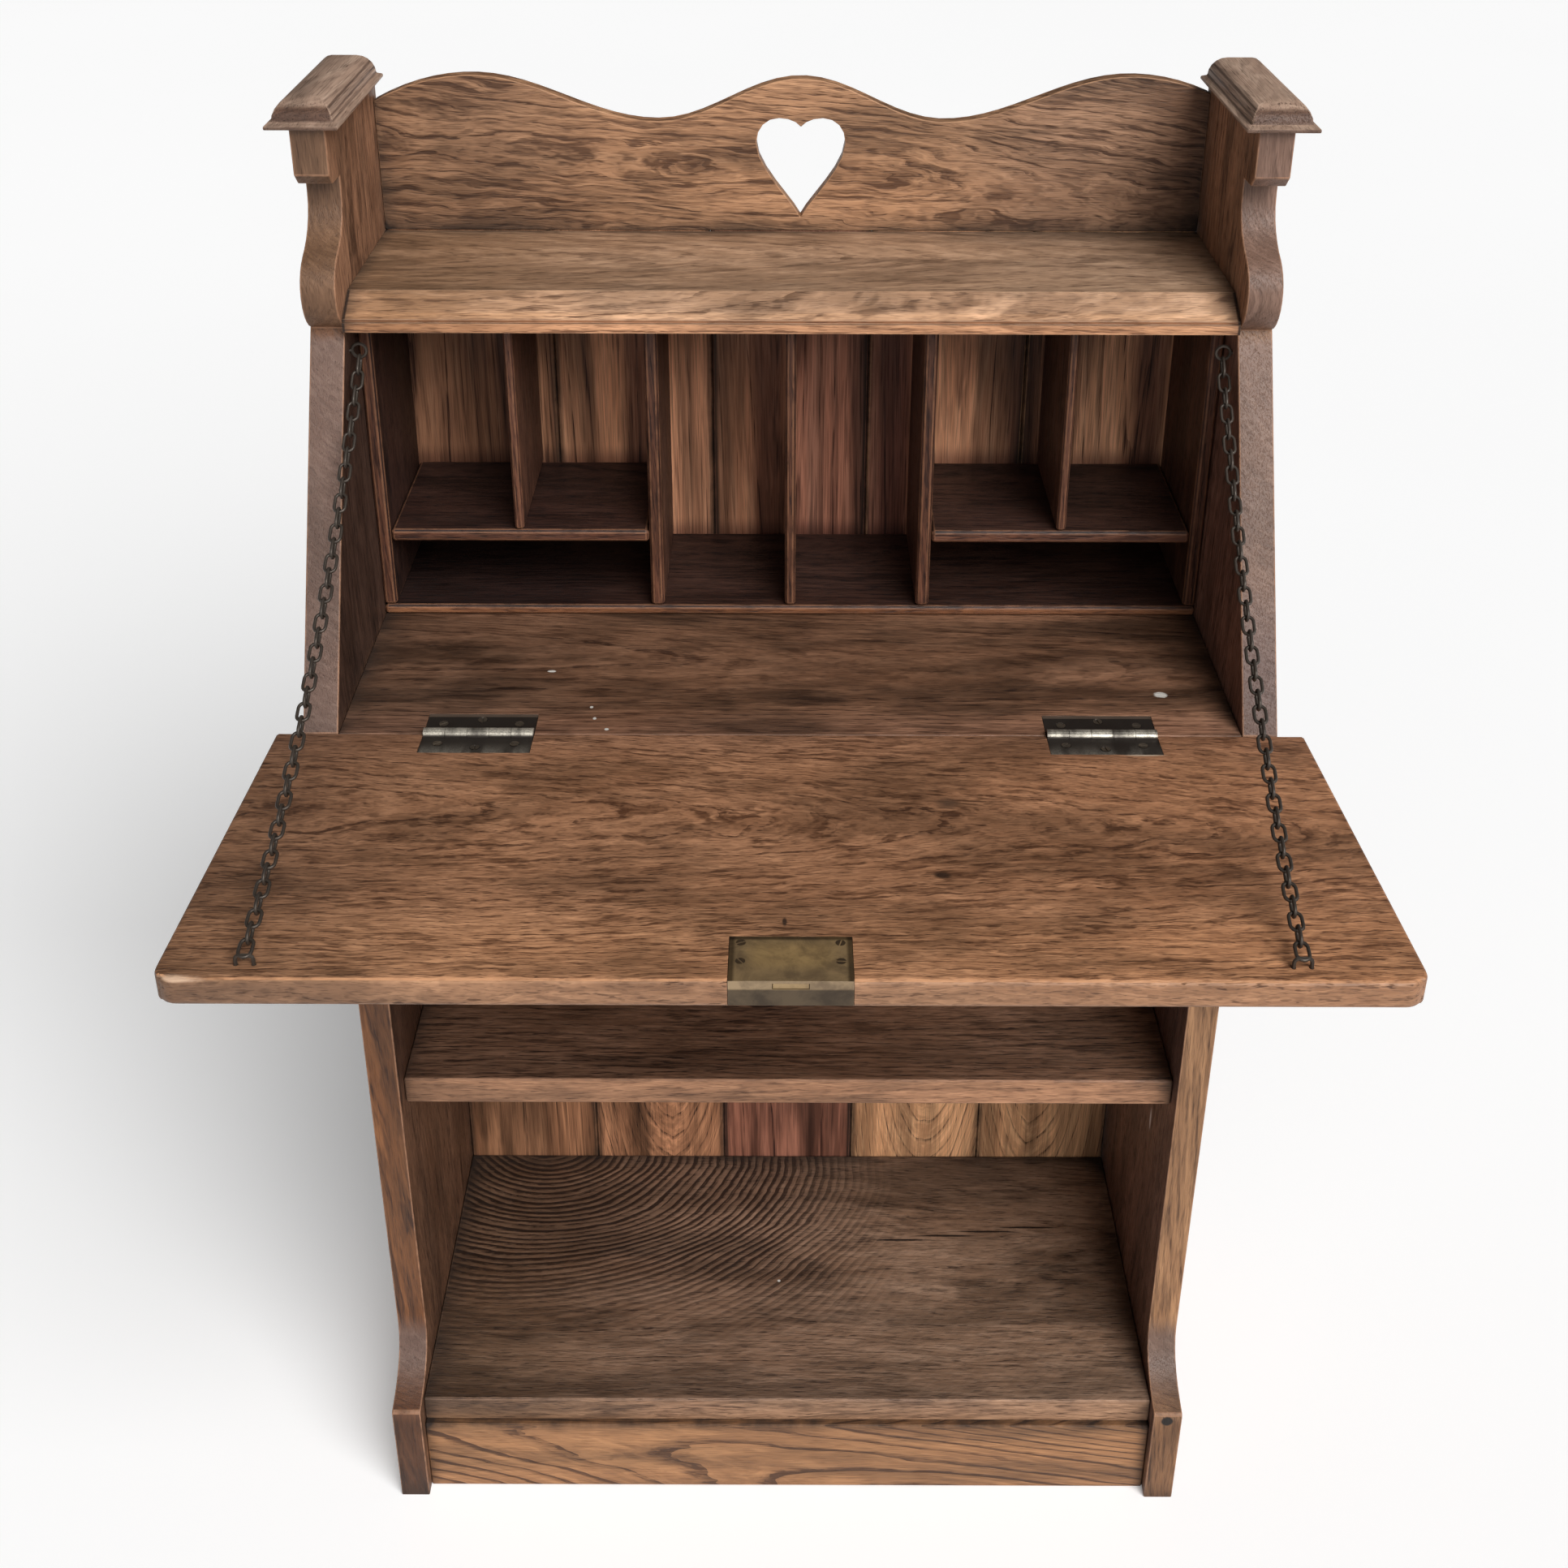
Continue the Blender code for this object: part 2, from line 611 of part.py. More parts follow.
def screw_places(hand, facing):
    """Three screws in a leaf, the middle one further from the knuckles."""
    for step in (-1, 0, 1):
        line = SCREW_LINE + (SCREW_STAGGER / 2 if step == 0 else -SCREW_STAGGER / 2)
        yield hand * HINGE_OUT + step * SCREW_PITCH, facing * line


def screw_outline(margin, tail):
    """Half section of a countersunk screw from its head down, as radius and height below the leaf's face."""
    head, shank = SCREW_HEAD_RADIUS + margin, SCREW_SHANK_RADIUS + margin
    cone = SCREW_HEAD_RADIUS - SCREW_SHANK_RADIUS
    return [(head, 0.0), (shank, -cone), (shank, -tail)]


def turned(outline, place, sides=10):
    """A solid turned about Z through place, from (radius, height) points with flat ends."""
    shape = bmesh.new()
    rings = []
    for radius, height in outline:
        ring = []
        for k in range(sides):
            angle = 2 * math.pi * k / sides
            x, y = place[0] + radius * math.cos(angle), place[1] + radius * math.sin(angle)
            ring.append(shape.verts.new((x, y, place[2] + height)))
        rings.append(ring)
    shape.faces.new(rings[0])
    shape.faces.new(reversed(rings[-1]))
    for upper, lower in zip(rings, rings[1:]):
        for k in range(sides):
            m = (k + 1) % sides
            shape.faces.new((upper[k], lower[k], lower[m], upper[m]))
    return shape


def screw_holes(hand, facing, level):
    outline = screw_outline(GAP, SCREW_LENGTH + GAP)
    outline = [(outline[0][0], GAP)] + outline
    return join([turned(outline, (x, y, level)) for x, y in screw_places(hand, facing)])


def knuckle_spans(hand, facing):
    """The stretches of the hinge's length that this half's knuckles fill: every other one."""
    pitch = HINGE_LENGTH / HINGE_KNUCKLES
    start = hand * HINGE_OUT - HINGE_LENGTH / 2
    first = 0 if facing > 0 else 1
    for i in range(first, HINGE_KNUCKLES, 2):
        yield start + i * pitch + GAP / 2, start + (i + 1) * pitch - GAP / 2


def knuckle_outline():
    """A knuckle rolled from the leaf, with a tail that runs into the leaf."""
    radius = HINGE_KNUCKLE_RADIUS
    upper, lower = -HINGE_LEAF_THICK * 0.2, -HINGE_LEAF_THICK * 0.8
    start, end = math.degrees(math.asin(upper / radius)), math.degrees(math.asin(lower / radius))
    tail = radius + RUN_GAP + HINGE_LEAF_THICK
    return arc((0.0, 0.0), radius, start, 360 + end, 15) + [(tail, lower), (tail, upper)]


def make_hinge_half(name, hand, facing, parent, level):
    """A leaf let in flush, with its share of the knuckles, a bore for the pin and countersunk screw holes."""
    knuckle = HINGE_KNUCKLE_RADIUS
    near, far = facing * (knuckle + RUN_GAP), facing * HINGE_LEAF_WIDTH
    half = HINGE_LENGTH / 2
    middle = hand * HINGE_OUT
    low = (middle - half, min(near, far), level - HINGE_LEAF_THICK)
    high = (middle + half, max(near, far), level)
    leaf = piece(name, box(low, high), parent, metal(name), smooth=True)
    for start, end in knuckle_spans(hand, facing):
        barrel = [(facing * y, level + z) for y, z in knuckle_outline()]
        boolean(leaf, prism(barrel, start, end, along_x), "UNION")
    bore = cylinder(HINGE_PIN_RADIUS + GAP, middle - half - GAP, middle + half + GAP, along_x, (0.0, level))
    boolean(leaf, bore)
    boolean(leaf, screw_holes(hand, facing, level))
    for i, (x, y) in enumerate(screw_places(hand, facing)):
        screw = f"{name.replace('leaf', 'screw')}_{i + 1}"
        shape = turned(screw_outline(0.0, SCREW_LENGTH), (x, y, level))
        piece(screw, shape, parent, metal(screw), smooth=True)


def make_hinges(root, fall):
    for hand, word in ((-1, "left"), (1, "right")):
        make_hinge_half(f"hinge_{word}_bed_leaf", hand, 1, root, BED_TOP)
        make_hinge_half(f"hinge_{word}_fall_leaf", hand, -1, fall, 0.0)
        name = f"hinge_{word}_pin"
        middle, half = hand * HINGE_OUT, HINGE_LENGTH / 2
        shape = cylinder(HINGE_PIN_RADIUS, middle - half, middle + half, along_x, (0.0, BED_TOP))
        piece(name, shape, root, metal(name, BRASS), smooth=True)


# Fall and lock, laid level in the fall's own frame: Y is minus the length from the hinge axis

def fall_section():
    """The fall seen from its end, square at the hinge and rounded at the free edge."""
    radius = FALL_EDGE_RADIUS
    front = -FALL_LENGTH + radius
    points = [(-RUN_GAP, -FALL_THICK), (-RUN_GAP, 0.0)]
    points += arc((front, -radius), radius, 90, 180, 4)
    points += arc((front, radius - FALL_THICK), radius, 180, 270, 4)
    return points


def make_fall(fall):
    half = FALL_WIDTH / 2
    shape = prism(fall_section(), -half, half, along_x)
    ends = [edge for edge in shape.edges if abs(edge.verts[0].co.x - edge.verts[1].co.x) < GAP]
    bmesh.ops.bevel(shape, geom=ends, offset=FALL_EDGE_RADIUS / 2, segments=2, profile=0.5, affect="EDGES")
    board = piece("fall_board", shape, fall, wood("fall_board"))
    for hand in (-1, 1):
        boolean(board, hinge_recess(hand, -1, 0.0))
        boolean(board, screw_holes(hand, -1, 0.0))
    front = -FALL_LENGTH - GAP
    lock, case = LOCK_WIDTH / 2 + GAP, CASE_WIDTH / 2 + GAP
    case_low, case_back = CASE_TOP - CASE_HEIGHT, CASE_FRONT + CASE_DEPTH
    plate_back, selvedge_back = LOCK_DEPTH - FALL_LENGTH, SELVEDGE_THICK - FALL_LENGTH
    under = -FALL_THICK
    boolean(board, box((-lock, front, -LOCK_PLATE_THICK - GAP), (lock, plate_back + GAP, GAP)))
    boolean(board, box((-lock, front, -SELVEDGE_HEIGHT - GAP), (lock, selvedge_back + GAP, GAP)))
    boolean(board, box((-case, CASE_FRONT - GAP, case_low - GAP), (case, case_back + GAP, GAP)))
    boolean(board, keyhole(under - GAP, case_low))
    boolean(board, prism(escutcheon_outline(GAP), under - GAP, under + ESCUTCHEON_THICK + GAP, along_z))
    for x in (-STAPLE_OUT_LEFT, STAPLE_OUT_RIGHT):
        for leg in (-STAPLE_LEGS / 2, STAPLE_LEGS / 2):
            middle = (x + leg, -STAPLE_FORWARD)
            boolean(board, cylinder(EYE_WIRE_RADIUS + GAP, -STAPLE_SINK - GAP, GAP, along_z, middle, sides=8))


def keyhole_outline(margin=0.0):
    """A round hole with a slot towards the hinge."""
    radius = KEYHOLE_RADIUS + margin
    half = KEYHOLE_SLOT_WIDTH / 2 + margin
    middle = KEYHOLE_BACK - FALL_LENGTH
    lean = math.degrees(math.asin(half / radius))
    points = arc((0.0, middle), radius, 90 + lean, 450 - lean, 12)
    end = middle + KEYHOLE_SLOT_LENGTH + margin
    return points + [(half, end), (-half, end)]


def keyhole(low, high):
    return prism(keyhole_outline(), low, high, along_z)


def escutcheon_outline(margin):
    """An oval plate round the keyhole."""
    middle = KEYHOLE_BACK - FALL_LENGTH + KEYHOLE_SLOT_LENGTH / 2 - KEYHOLE_RADIUS / 2
    points = []
    for i in range(24):
        angle = 2 * math.pi * i / 24
        points.append(((ESCUTCHEON_WIDTH / 2 + margin) * math.cos(angle),
                       middle + (ESCUTCHEON_LENGTH / 2 + margin) * math.sin(angle)))
    return points


def make_lock(fall, bolt_axis):
    front = -FALL_LENGTH
    half = LOCK_WIDTH / 2
    outline = [(front, 0.0), (front, -SELVEDGE_HEIGHT), (front + SELVEDGE_THICK, -SELVEDGE_HEIGHT)]
    outline += [(front + SELVEDGE_THICK, -LOCK_PLATE_THICK), (front + LOCK_DEPTH, -LOCK_PLATE_THICK)]
    outline.append((front + LOCK_DEPTH, 0.0))
    plate = piece("lock_plate", prism(outline, -half, half, along_x), fall, metal("lock_plate", BRASS))
    bolt_half = BOLT_WIDTH / 2
    bolt_low = BOLT_TOP - BOLT_THICK
    slot = (bolt_half + GAP, bolt_low - GAP, BOLT_TOP + GAP / 2)
    boolean(plate, box((-slot[0], front - GAP, slot[1]), (slot[0], CASE_FRONT, slot[2])))

    case_half, case_low, case_back = CASE_WIDTH / 2, CASE_TOP - CASE_HEIGHT, CASE_FRONT + CASE_DEPTH
    case = piece("lock_case", box((-case_half, CASE_FRONT, case_low), (case_half, case_back, CASE_TOP)), fall,
                 metal("lock_case", IRON))
    boolean(case, box((CASE_WALL - case_half, CASE_FRONT + CASE_WALL, case_low + CASE_WALL),
                      (case_half - CASE_WALL, case_back - CASE_WALL, CASE_TOP + CASE_WALL)))
    boolean(case, box((-slot[0], CASE_FRONT - GAP, slot[1]),
                      (slot[0], CASE_FRONT + 2 * CASE_WALL, CASE_TOP + GAP)))
    boolean(case, keyhole(case_low - GAP, case_low + 2 * CASE_WALL))

    tip = front + GAP
    bolt = box((-bolt_half, tip, bolt_low), (bolt_half, tip + BOLT_LENGTH, BOLT_TOP - GAP), CASE_WALL / 4)
    piece("lock_bolt", bolt, bolt_axis, metal("lock_bolt", BRASS))

    floor, crown = case_low + CASE_WALL + GAP, bolt_low - GAP
    near = CASE_FRONT + 2 * CASE_WALL
    rows = []
    for i in range(9):
        share = i / 8
        lift = (crown - SPRING_THICK - floor) * math.sin(math.pi * share)
        rows.append((near + SPRING_LENGTH * share, floor + lift))
    spring = rows + [(y, z + SPRING_THICK) for y, z in reversed(rows)]
    side = -bolt_half + SPRING_WIDTH
    piece("lock_spring", prism(spring, side - SPRING_WIDTH, side, along_x), fall, metal("lock_spring", IRON))

    under, inside = -FALL_THICK, ESCUTCHEON_THICK - FALL_THICK
    oval = prism(escutcheon_outline(0.0), under, inside, along_z)
    escutcheon = piece("keyhole_escutcheon", oval, fall, metal("keyhole_escutcheon", BRASS))
    boolean(escutcheon, keyhole(under - GAP, inside + GAP))


# Chains

def staple_point(x):
    """The staple's crossbar at rest, from the hinge line."""
    level = Vector((x, -STAPLE_FORWARD, STAPLE_RISE))
    return Matrix.Rotation(-FALL_RISE, 3, "X") @ level + Vector((0.0, 0.0, BED_TOP))


class ChainCurve:
    """A slack chain between two points, as a parabola in the upright plane through them."""

    def __init__(self, start, end):
        self.start, self.end = start, end
        self.lengths = self.measure()
        self.pitch = self.lengths[-1] / CHAIN_LINKS

    def point(self, share):
        place = self.start.lerp(self.end, share)
        place.z -= 4 * CHAIN_SAG * share * (1 - share)
        return place

    def measure(self, steps=200):
        lengths = [0.0]
        for i in range(steps):
            lengths.append(lengths[-1] + (self.point((i + 1) / steps) - self.point(i / steps)).length)
        return lengths

    def at(self, distance):
        """The point at a distance along the chain from its upper end."""
        steps = len(self.lengths) - 1
        i = 0
        while i < steps - 1 and self.lengths[i + 1] < distance:
            i += 1
        share = (distance - self.lengths[i]) / (self.lengths[i + 1] - self.lengths[i])
        return self.point((i + share) / steps)


def link(curve, number, back_reach, front_reach):
    """One wire link about the middle of its pitch; every other link is turned a quarter round the chain."""
    start, end = curve.at(number * curve.pitch), curve.at((number + 1) * curve.pitch)
    middle = (start + end) / 2
    forward = (end - start).normalized()
    level = Vector((1.0, 0.0, 0.0))
    across = forward.cross(level).normalized()
    if number % 2:
        across = forward.cross(across).normalized()
    bend = LINK_WIDTH / 2 - LINK_WIRE_RADIUS
    half = curve.pitch / 2
    path = arc((half + front_reach - bend, 0.0), bend, -90, 90, 4)
    path += arc((bend - half - back_reach, 0.0), bend, 90, 270, 4)
    points = [middle + a * forward + b * across for a, b in path]
    return tube(points, LINK_WIRE_RADIUS, True, 5, forward.cross(across))


def make_links(name, curve, first, count, free_back, free_front, parent, shift):
    """A run of links fused where they bear on each other; its ends reach as given into their neighbours."""
    fused = LINK_WIRE_RADIUS - LINK_SINK / 2
    halves = [[], []]
    for i in range(count):
        back = free_back if i == 0 else fused
        front = free_front if i == count - 1 else fused
        halves[i % 2].append(link(curve, first + i, back, front))
    for half in halves:
        for shape in half:
            bmesh.ops.transform(shape, matrix=shift, verts=shape.verts)
    run = piece(name, join(halves[0]), parent, metal(name, IRON), smooth=True)
    boolean(run, join(halves[1]), "UNION")


def make_chain(word, hand, staple_x, root, fall):
    eye_x = hand * (INNER - EYE_RADIUS - EYE_WIRE_RADIUS - RUN_GAP)
    eye = Vector((eye_x, EYE_BACK, BED_TOP + EYE_UP))
    curve = ChainCurve(eye, staple_point(staple_x))
    at_wire = EYE_WIRE_RADIUS + LINK_WIRE_RADIUS + RUN_GAP
    at_link = LINK_WIRE_RADIUS + RUN_GAP
    bend = curve.at(CHAIN_UPPER_LINKS * curve.pitch - at_link)

    upper_axis = empty(f"chain_{word}_eye_axis", root, eye)
    bight_axis = empty(f"chain_{word}_bend_axis", upper_axis, bend - eye)
    to_eye, to_bend = Matrix.Translation(-eye), Matrix.Translation(-bend)
    to_fall = Matrix.Rotation(FALL_RISE, 4, "X") @ Matrix.Translation((0.0, 0.0, -BED_TOP))
    runs = [("upper", CHAIN_UPPER_LINKS, at_wire, at_link, upper_axis, to_eye),
            ("bight", CHAIN_BIGHT_LINKS, at_link, at_link, bight_axis, to_bend),
            ("lower", CHAIN_LOWER_LINKS, at_link, at_wire, fall, to_fall)]
    first = 0
    for run, count, back, front, parent, shift in runs:
        make_links(f"chain_{word}_{run}", curve, first, count, back, front, parent, shift)
        first += count

    centre = eye + Vector((0.0, 0.0, EYE_RADIUS))
    ring = [centre + Vector((x, 0.0, z)) for x, z in arc((0.0, 0.0), EYE_RADIUS, 0, 337.5, 15)]
    name = f"chain_{word}_eye"
    back = Vector((0.0, 1.0, 0.0))
    loop = piece(name, tube(ring, EYE_WIRE_RADIUS, True, 6, back), root, metal(name), smooth=True)
    shank_start, shank_end = centre.x + hand * EYE_RADIUS, hand * (INNER + EYE_SHANK)
    shank = cylinder(EYE_WIRE_RADIUS, shank_start, shank_end, along_x, (centre.y, centre.z), 8)
    boolean(loop, shank, "UNION")

    name = f"chain_{word}_staple"
    half, rise = STAPLE_LEGS / 2, STAPLE_RISE
    bend_radius = min(half, rise) / 2
    path = [(-half, -STAPLE_SINK), (-half, rise - bend_radius)]
    path += arc((bend_radius - half, rise - bend_radius), bend_radius, 150, 90, 2)
    path += arc((half - bend_radius, rise - bend_radius), bend_radius, 90, 30, 2)
    path += [(half, rise - bend_radius), (half, -STAPLE_SINK)]
    points = [Vector((staple_x + x, -STAPLE_FORWARD, z)) for x, z in path]
    piece(name, tube(points, EYE_WIRE_RADIUS, False, 6, back), fall, metal(name), smooth=True)


def main():
    clear_scene()
    root = empty("bureau", None, (0.0, -MIDDLE_Y, 0.0))
    fall = empty("fall_axis", root, (0.0, 0.0, BED_TOP), -FALL_RISE)
    bolt_axis = empty("bolt_axis", fall)
    make_side("side_left", -1, root)
    make_side("side_right", 1, root)
    make_cap("cap_left", -1, root)
    make_cap("cap_right", 1, root)
    make_top_shelf(root)
    make_gallery(root)
    make_bed(root)
    make_boards(root)
    make_pigeonholes(root)
    make_fall(fall)
    make_hinges(root, fall)
    make_lock(fall, bolt_axis)
    make_strike(root)
    make_chain("left", -1, -STAPLE_OUT_LEFT, root, fall)
    make_chain("right", 1, STAPLE_OUT_RIGHT, root, fall)


main()
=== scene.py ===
import json
import math

import bmesh
import bpy
from bpy.props import FloatProperty, FloatVectorProperty, IntProperty, PointerProperty
from mathutils import Matrix, Vector

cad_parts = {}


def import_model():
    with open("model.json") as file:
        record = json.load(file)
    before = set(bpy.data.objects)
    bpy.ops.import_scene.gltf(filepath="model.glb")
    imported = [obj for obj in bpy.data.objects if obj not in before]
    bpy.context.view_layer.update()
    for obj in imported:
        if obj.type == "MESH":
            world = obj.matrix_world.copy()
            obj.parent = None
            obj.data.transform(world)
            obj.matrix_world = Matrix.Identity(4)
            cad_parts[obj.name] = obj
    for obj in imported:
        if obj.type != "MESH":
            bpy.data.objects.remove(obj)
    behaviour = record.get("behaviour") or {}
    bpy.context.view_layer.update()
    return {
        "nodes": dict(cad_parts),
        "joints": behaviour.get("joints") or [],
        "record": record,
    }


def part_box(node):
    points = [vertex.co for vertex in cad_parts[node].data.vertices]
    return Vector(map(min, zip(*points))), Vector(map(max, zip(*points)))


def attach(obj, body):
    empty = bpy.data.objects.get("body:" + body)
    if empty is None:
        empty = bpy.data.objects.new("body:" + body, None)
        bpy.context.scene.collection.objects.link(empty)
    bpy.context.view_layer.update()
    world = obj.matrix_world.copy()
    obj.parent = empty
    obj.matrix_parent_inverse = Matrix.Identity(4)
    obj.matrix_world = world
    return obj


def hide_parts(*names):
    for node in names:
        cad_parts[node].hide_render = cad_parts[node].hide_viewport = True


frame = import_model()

bl_info = {
    "name": "Oak Writing Bureau",
    "version": (1, 0, 0),
    "blender": (4, 5, 0),
    "location": "3D View > Sidebar > Bureau",
    "description": "Dresses the packed bureau with oak, brass, bronze and iron, its chains and its stage",
    "category": "Object",
}

JOINTS = {joint["name"]: joint for joint in frame["joints"]}
HINGE_LINE = Vector(JOINTS["fall_hinge"]["pos_m"])
FAR = 2.0
WHITE = (1.0, 1.0, 1.0)
UP = Vector((0.0, 0.0, 1.0))


# Settings

def colour(name, default, description):
    return FloatVectorProperty(name=name, description=description, subtype="COLOR", size=3, min=0.0, max=1.0,
                               default=default)


def length(name, default, description):
    return FloatProperty(name=name, description=description, unit="LENGTH", subtype="DISTANCE", precision=5,
                         default=default)


def angle(name, degrees, description):
    return FloatProperty(name=name, description=description, unit="ROTATION", default=math.radians(degrees))


def amount(name, default, description):
    return FloatProperty(name=name, description=description, default=default, min=0.0)


def number(name, default, description):
    return IntProperty(name=name, description=description, default=default, min=1)


TONES = {"Light": "Pale streaks", "Brown": "Body colour", "Dark": "Pores and dashes"}
OAKS = {
    "face": ("the fall and the fronts", (0.480, 0.242, 0.128), (0.300, 0.142, 0.072), (0.092, 0.038, 0.018)),
    "pale": ("the top shelf", (0.530, 0.330, 0.206), (0.347, 0.203, 0.118), (0.125, 0.067, 0.038)),
    # dust: dusty wood of the lower shelf and the base, darkened further by painted shade of the open fall
    # above them
    "dust": ("the dusty shelves below", (0.300, 0.183, 0.122), (0.187, 0.104, 0.064), (0.032, 0.016, 0.010)),
    "worn": ("greyed edges and caps", (0.420, 0.285, 0.205), (0.290, 0.180, 0.125), (0.105, 0.062, 0.042)),
    "back": ("the back boards", (0.580, 0.280, 0.150), (0.260, 0.115, 0.060), (0.045, 0.017, 0.010)),
    # bare: paler wood of the back boards, lifted further by painted light behind the pigeonholes and on the
    # lower right-hand boards
    "bare": ("bare back boards", (0.920, 0.500, 0.265), (0.580, 0.275, 0.136), (0.086, 0.034, 0.019)),
    "stain": ("the stained pigeonholes", (0.270, 0.125, 0.065), (0.165, 0.070, 0.036), (0.045, 0.019, 0.012)),
}


class OakSettings(bpy.types.PropertyGroup):
    """Colours and figure of the oak."""

    # The colour of old dirt in corners, also used as painted shade where boards meet other parts
    grime: colour("Grime", (0.022, 0.013, 0.009), "Old dirt in the corners")
    ring_pitch: length("Ring pitch", 0.0042, "Growth of one year")
    pore_relief: length("Pore relief", 0.0005, "Depth of the open pores")


for kind, (where, *values) in OAKS.items():
    for (tone, part), value in zip(TONES.items(), values):
        OakSettings.__annotations__[f"{kind}_{tone.lower()}"] = colour(
            f"{kind.title()} {tone.lower()}", value, f"{part} of {where}")


class MetalSettings(bpy.types.PropertyGroup):
    """Colours of the metal fittings."""

    brass: colour("Brass", (0.330, 0.222, 0.108), "Dull brass of the lock")
    brass_bright: colour("Brass bright", (0.420, 0.310, 0.180), "Rubbed brass on edges")
    brass_tarnish: colour("Brass tarnish", (0.110, 0.070, 0.036), "Dark tarnish round the screws")
    bronze: colour("Bronze", (0.045, 0.036, 0.030), "Oxidised hinge leaves")
    bronze_bright: colour("Bronze bright", (0.640, 0.590, 0.490), "Rubbed hinge knuckles")
    iron: colour("Iron", (0.070, 0.055, 0.043), "Chain wire")
    iron_bright: colour("Iron bright", (0.300, 0.250, 0.190), "Rubbed chain wire")


class ChainSettings(bpy.types.PropertyGroup):
    """Sizes of the chains."""

    upper_links: number("Upper links", 18, "Links from the eye to the bend")
    bight_links: number("Bight links", 4, "Links between the two bends")
    lower_links: number("Lower links", 18, "Links from the bend to the staple")
    sag: length("Sag", 0.0287, "Drop of the chain's middle below the straight line")
    wire: length("Wire radius", 0.00110, "Half the wire's thickness")
    link_width: length("Link width", 0.0095, "Outside width of a link")
    staple_along: length("Staple place", 0.2580, "From the hinge line to the staple, along the fall")
    staple_rise: length("Staple rise", 0.0060, "Crossbar of the staple above the fall")
    fall_rise: angle("Fall rise", 4.0, "Tilt of the open fall")


class StageSettings(bpy.types.PropertyGroup):
    """Floor, lamps and camera."""

    floor: colour("Floor", (0.950, 0.950, 0.950), "Floor paper")
    floor_glow: amount("Floor glow", 0.17, "White added to the floor as the camera sees it")
    key: amount("Key", 3.5, "Strength of the broad light from the front right")
    key_turn: angle("Key turn", 32.0, "Right of straight ahead")
    key_height: angle("Key height", 40.0, "Above level")
    key_spread: angle("Key spread", 44.0, "Angular width")
    fill: amount("Fill", 0.45, "Strength of the weak light from the front left")
    fill_turn: angle("Fill turn", -10.0, "Right of straight ahead")
    fill_height: angle("Fill height", 20.0, "Above level")
    fill_spread: angle("Fill spread", 60.0, "Angular width")
    sky: amount("Sky", 0.06, "Light from all round")


# Node graphs

class Graph:
    """A node tree being filled, with one short call for each kind of node used here."""

    def __init__(self, tree):
        self.tree = tree

    def node(self, kind, values=None, **settings):
        made = self.tree.nodes.new(kind)
        for name, value in settings.items():
            setattr(made, name, value)
        for key, value in (values or {}).items():
            self.feed(made.inputs[key], value)
        return made

    def feed(self, socket, value):
        if isinstance(value, bpy.types.NodeSocket):
            self.tree.links.new(value, socket)
        elif hasattr(socket.default_value, "__len__") and len(socket.default_value) == 4 and len(value) == 3:
            socket.default_value = (*value, 1.0)
        else:
            socket.default_value = value

    def math(self, operation, a, b=0.0, c=0.0, clamp=False):
        values = {0: a, 1: b, 2: c}
        return self.node("ShaderNodeMath", values, operation=operation, use_clamp=clamp).outputs[0]

    def plus(self, a, b, clamp=False):
        return self.math("ADD", a, b, clamp=clamp)

    def minus(self, a, b):
        return self.math("SUBTRACT", a, b)

    def times(self, a, b, clamp=False):
        return self.math("MULTIPLY", a, b, clamp=clamp)

    def times_plus(self, a, b, c, clamp=False):
        return self.math("MULTIPLY_ADD", a, b, c, clamp)

    def vector(self, operation, a, b=(0.0, 0.0, 0.0)):
        made = self.node("ShaderNodeVectorMath", {0: a, 1: b}, operation=operation)
        return made.outputs["Value" if operation in ("LENGTH", "DOT_PRODUCT") else "Vector"]

    def scaled(self, vector, share):
        return self.node("ShaderNodeVectorMath", {0: vector, "Scale": share}, operation="SCALE").outputs[0]

    def parts(self, vector):
        return self.node("ShaderNodeSeparateXYZ", {0: vector}).outputs

    def join(self, x, y, z):
        return self.node("ShaderNodeCombineXYZ", {0: x, 1: y, 2: z}).outputs[0]

    def noise(self, vector, detail, roughness, scale=1.0, distortion=0.0):
        return self.node("ShaderNodeTexNoise", {"Vector": vector, "Scale": scale, "Detail": detail,
                                                "Roughness": roughness, "Distortion": distortion}).outputs

    def drawn_noise(self, vector, scales, detail, roughness):
        """Noise with its own scale along each axis."""
        return self.noise(self.vector("MULTIPLY", vector, scales), detail, roughness)

    def span(self, value, low, high, to_low=0.0, to_high=1.0):
        made = self.node("ShaderNodeMapRange", {"Value": value, "From Min": low, "From Max": high,
                                                "To Min": to_low, "To Max": to_high},
                         interpolation_type="SMOOTHSTEP")
        return made.outputs["Result"]

    def mix(self, factor, a, b, blend="MIX"):
        made = self.node("ShaderNodeMix", data_type="RGBA", blend_type=blend)
        for index, value in ((0, factor), (6, a), (7, b)):
            self.feed(made.inputs[index], value)
        return made.outputs[2]

    def group(self, tree, values):
        return self.node("ShaderNodeGroup", values, node_tree=tree).outputs


def shader_group(name, inputs, outputs):
    """Turns a function that fills a graph into one that gives the node group, made at its first use."""
    def wrap(fill):
        def group():
            if name in bpy.data.node_groups:
                return bpy.data.node_groups[name]
            tree = bpy.data.node_groups.new(name, "ShaderNodeTree")
            for direction, sockets in (("INPUT", inputs), ("OUTPUT", outputs)):
                for kind, words in sockets.items():
                    for word in words.split(", "):
                        socket = f"NodeSocket{kind}"
                        tree.interface.new_socket(name=word, in_out=direction, socket_type=socket)
            graph = Graph(tree)
            given = graph.node("NodeGroupInput").outputs
            result = graph.node("NodeGroupOutput").inputs
            for word, value in fill(graph, given).items():
                graph.feed(result[word], value)
            return tree
        return group
    return wrap


SURFACE = {"Color": "Color", "Float": "Roughness, Height"}
MASK = {"Float": "Mask"}


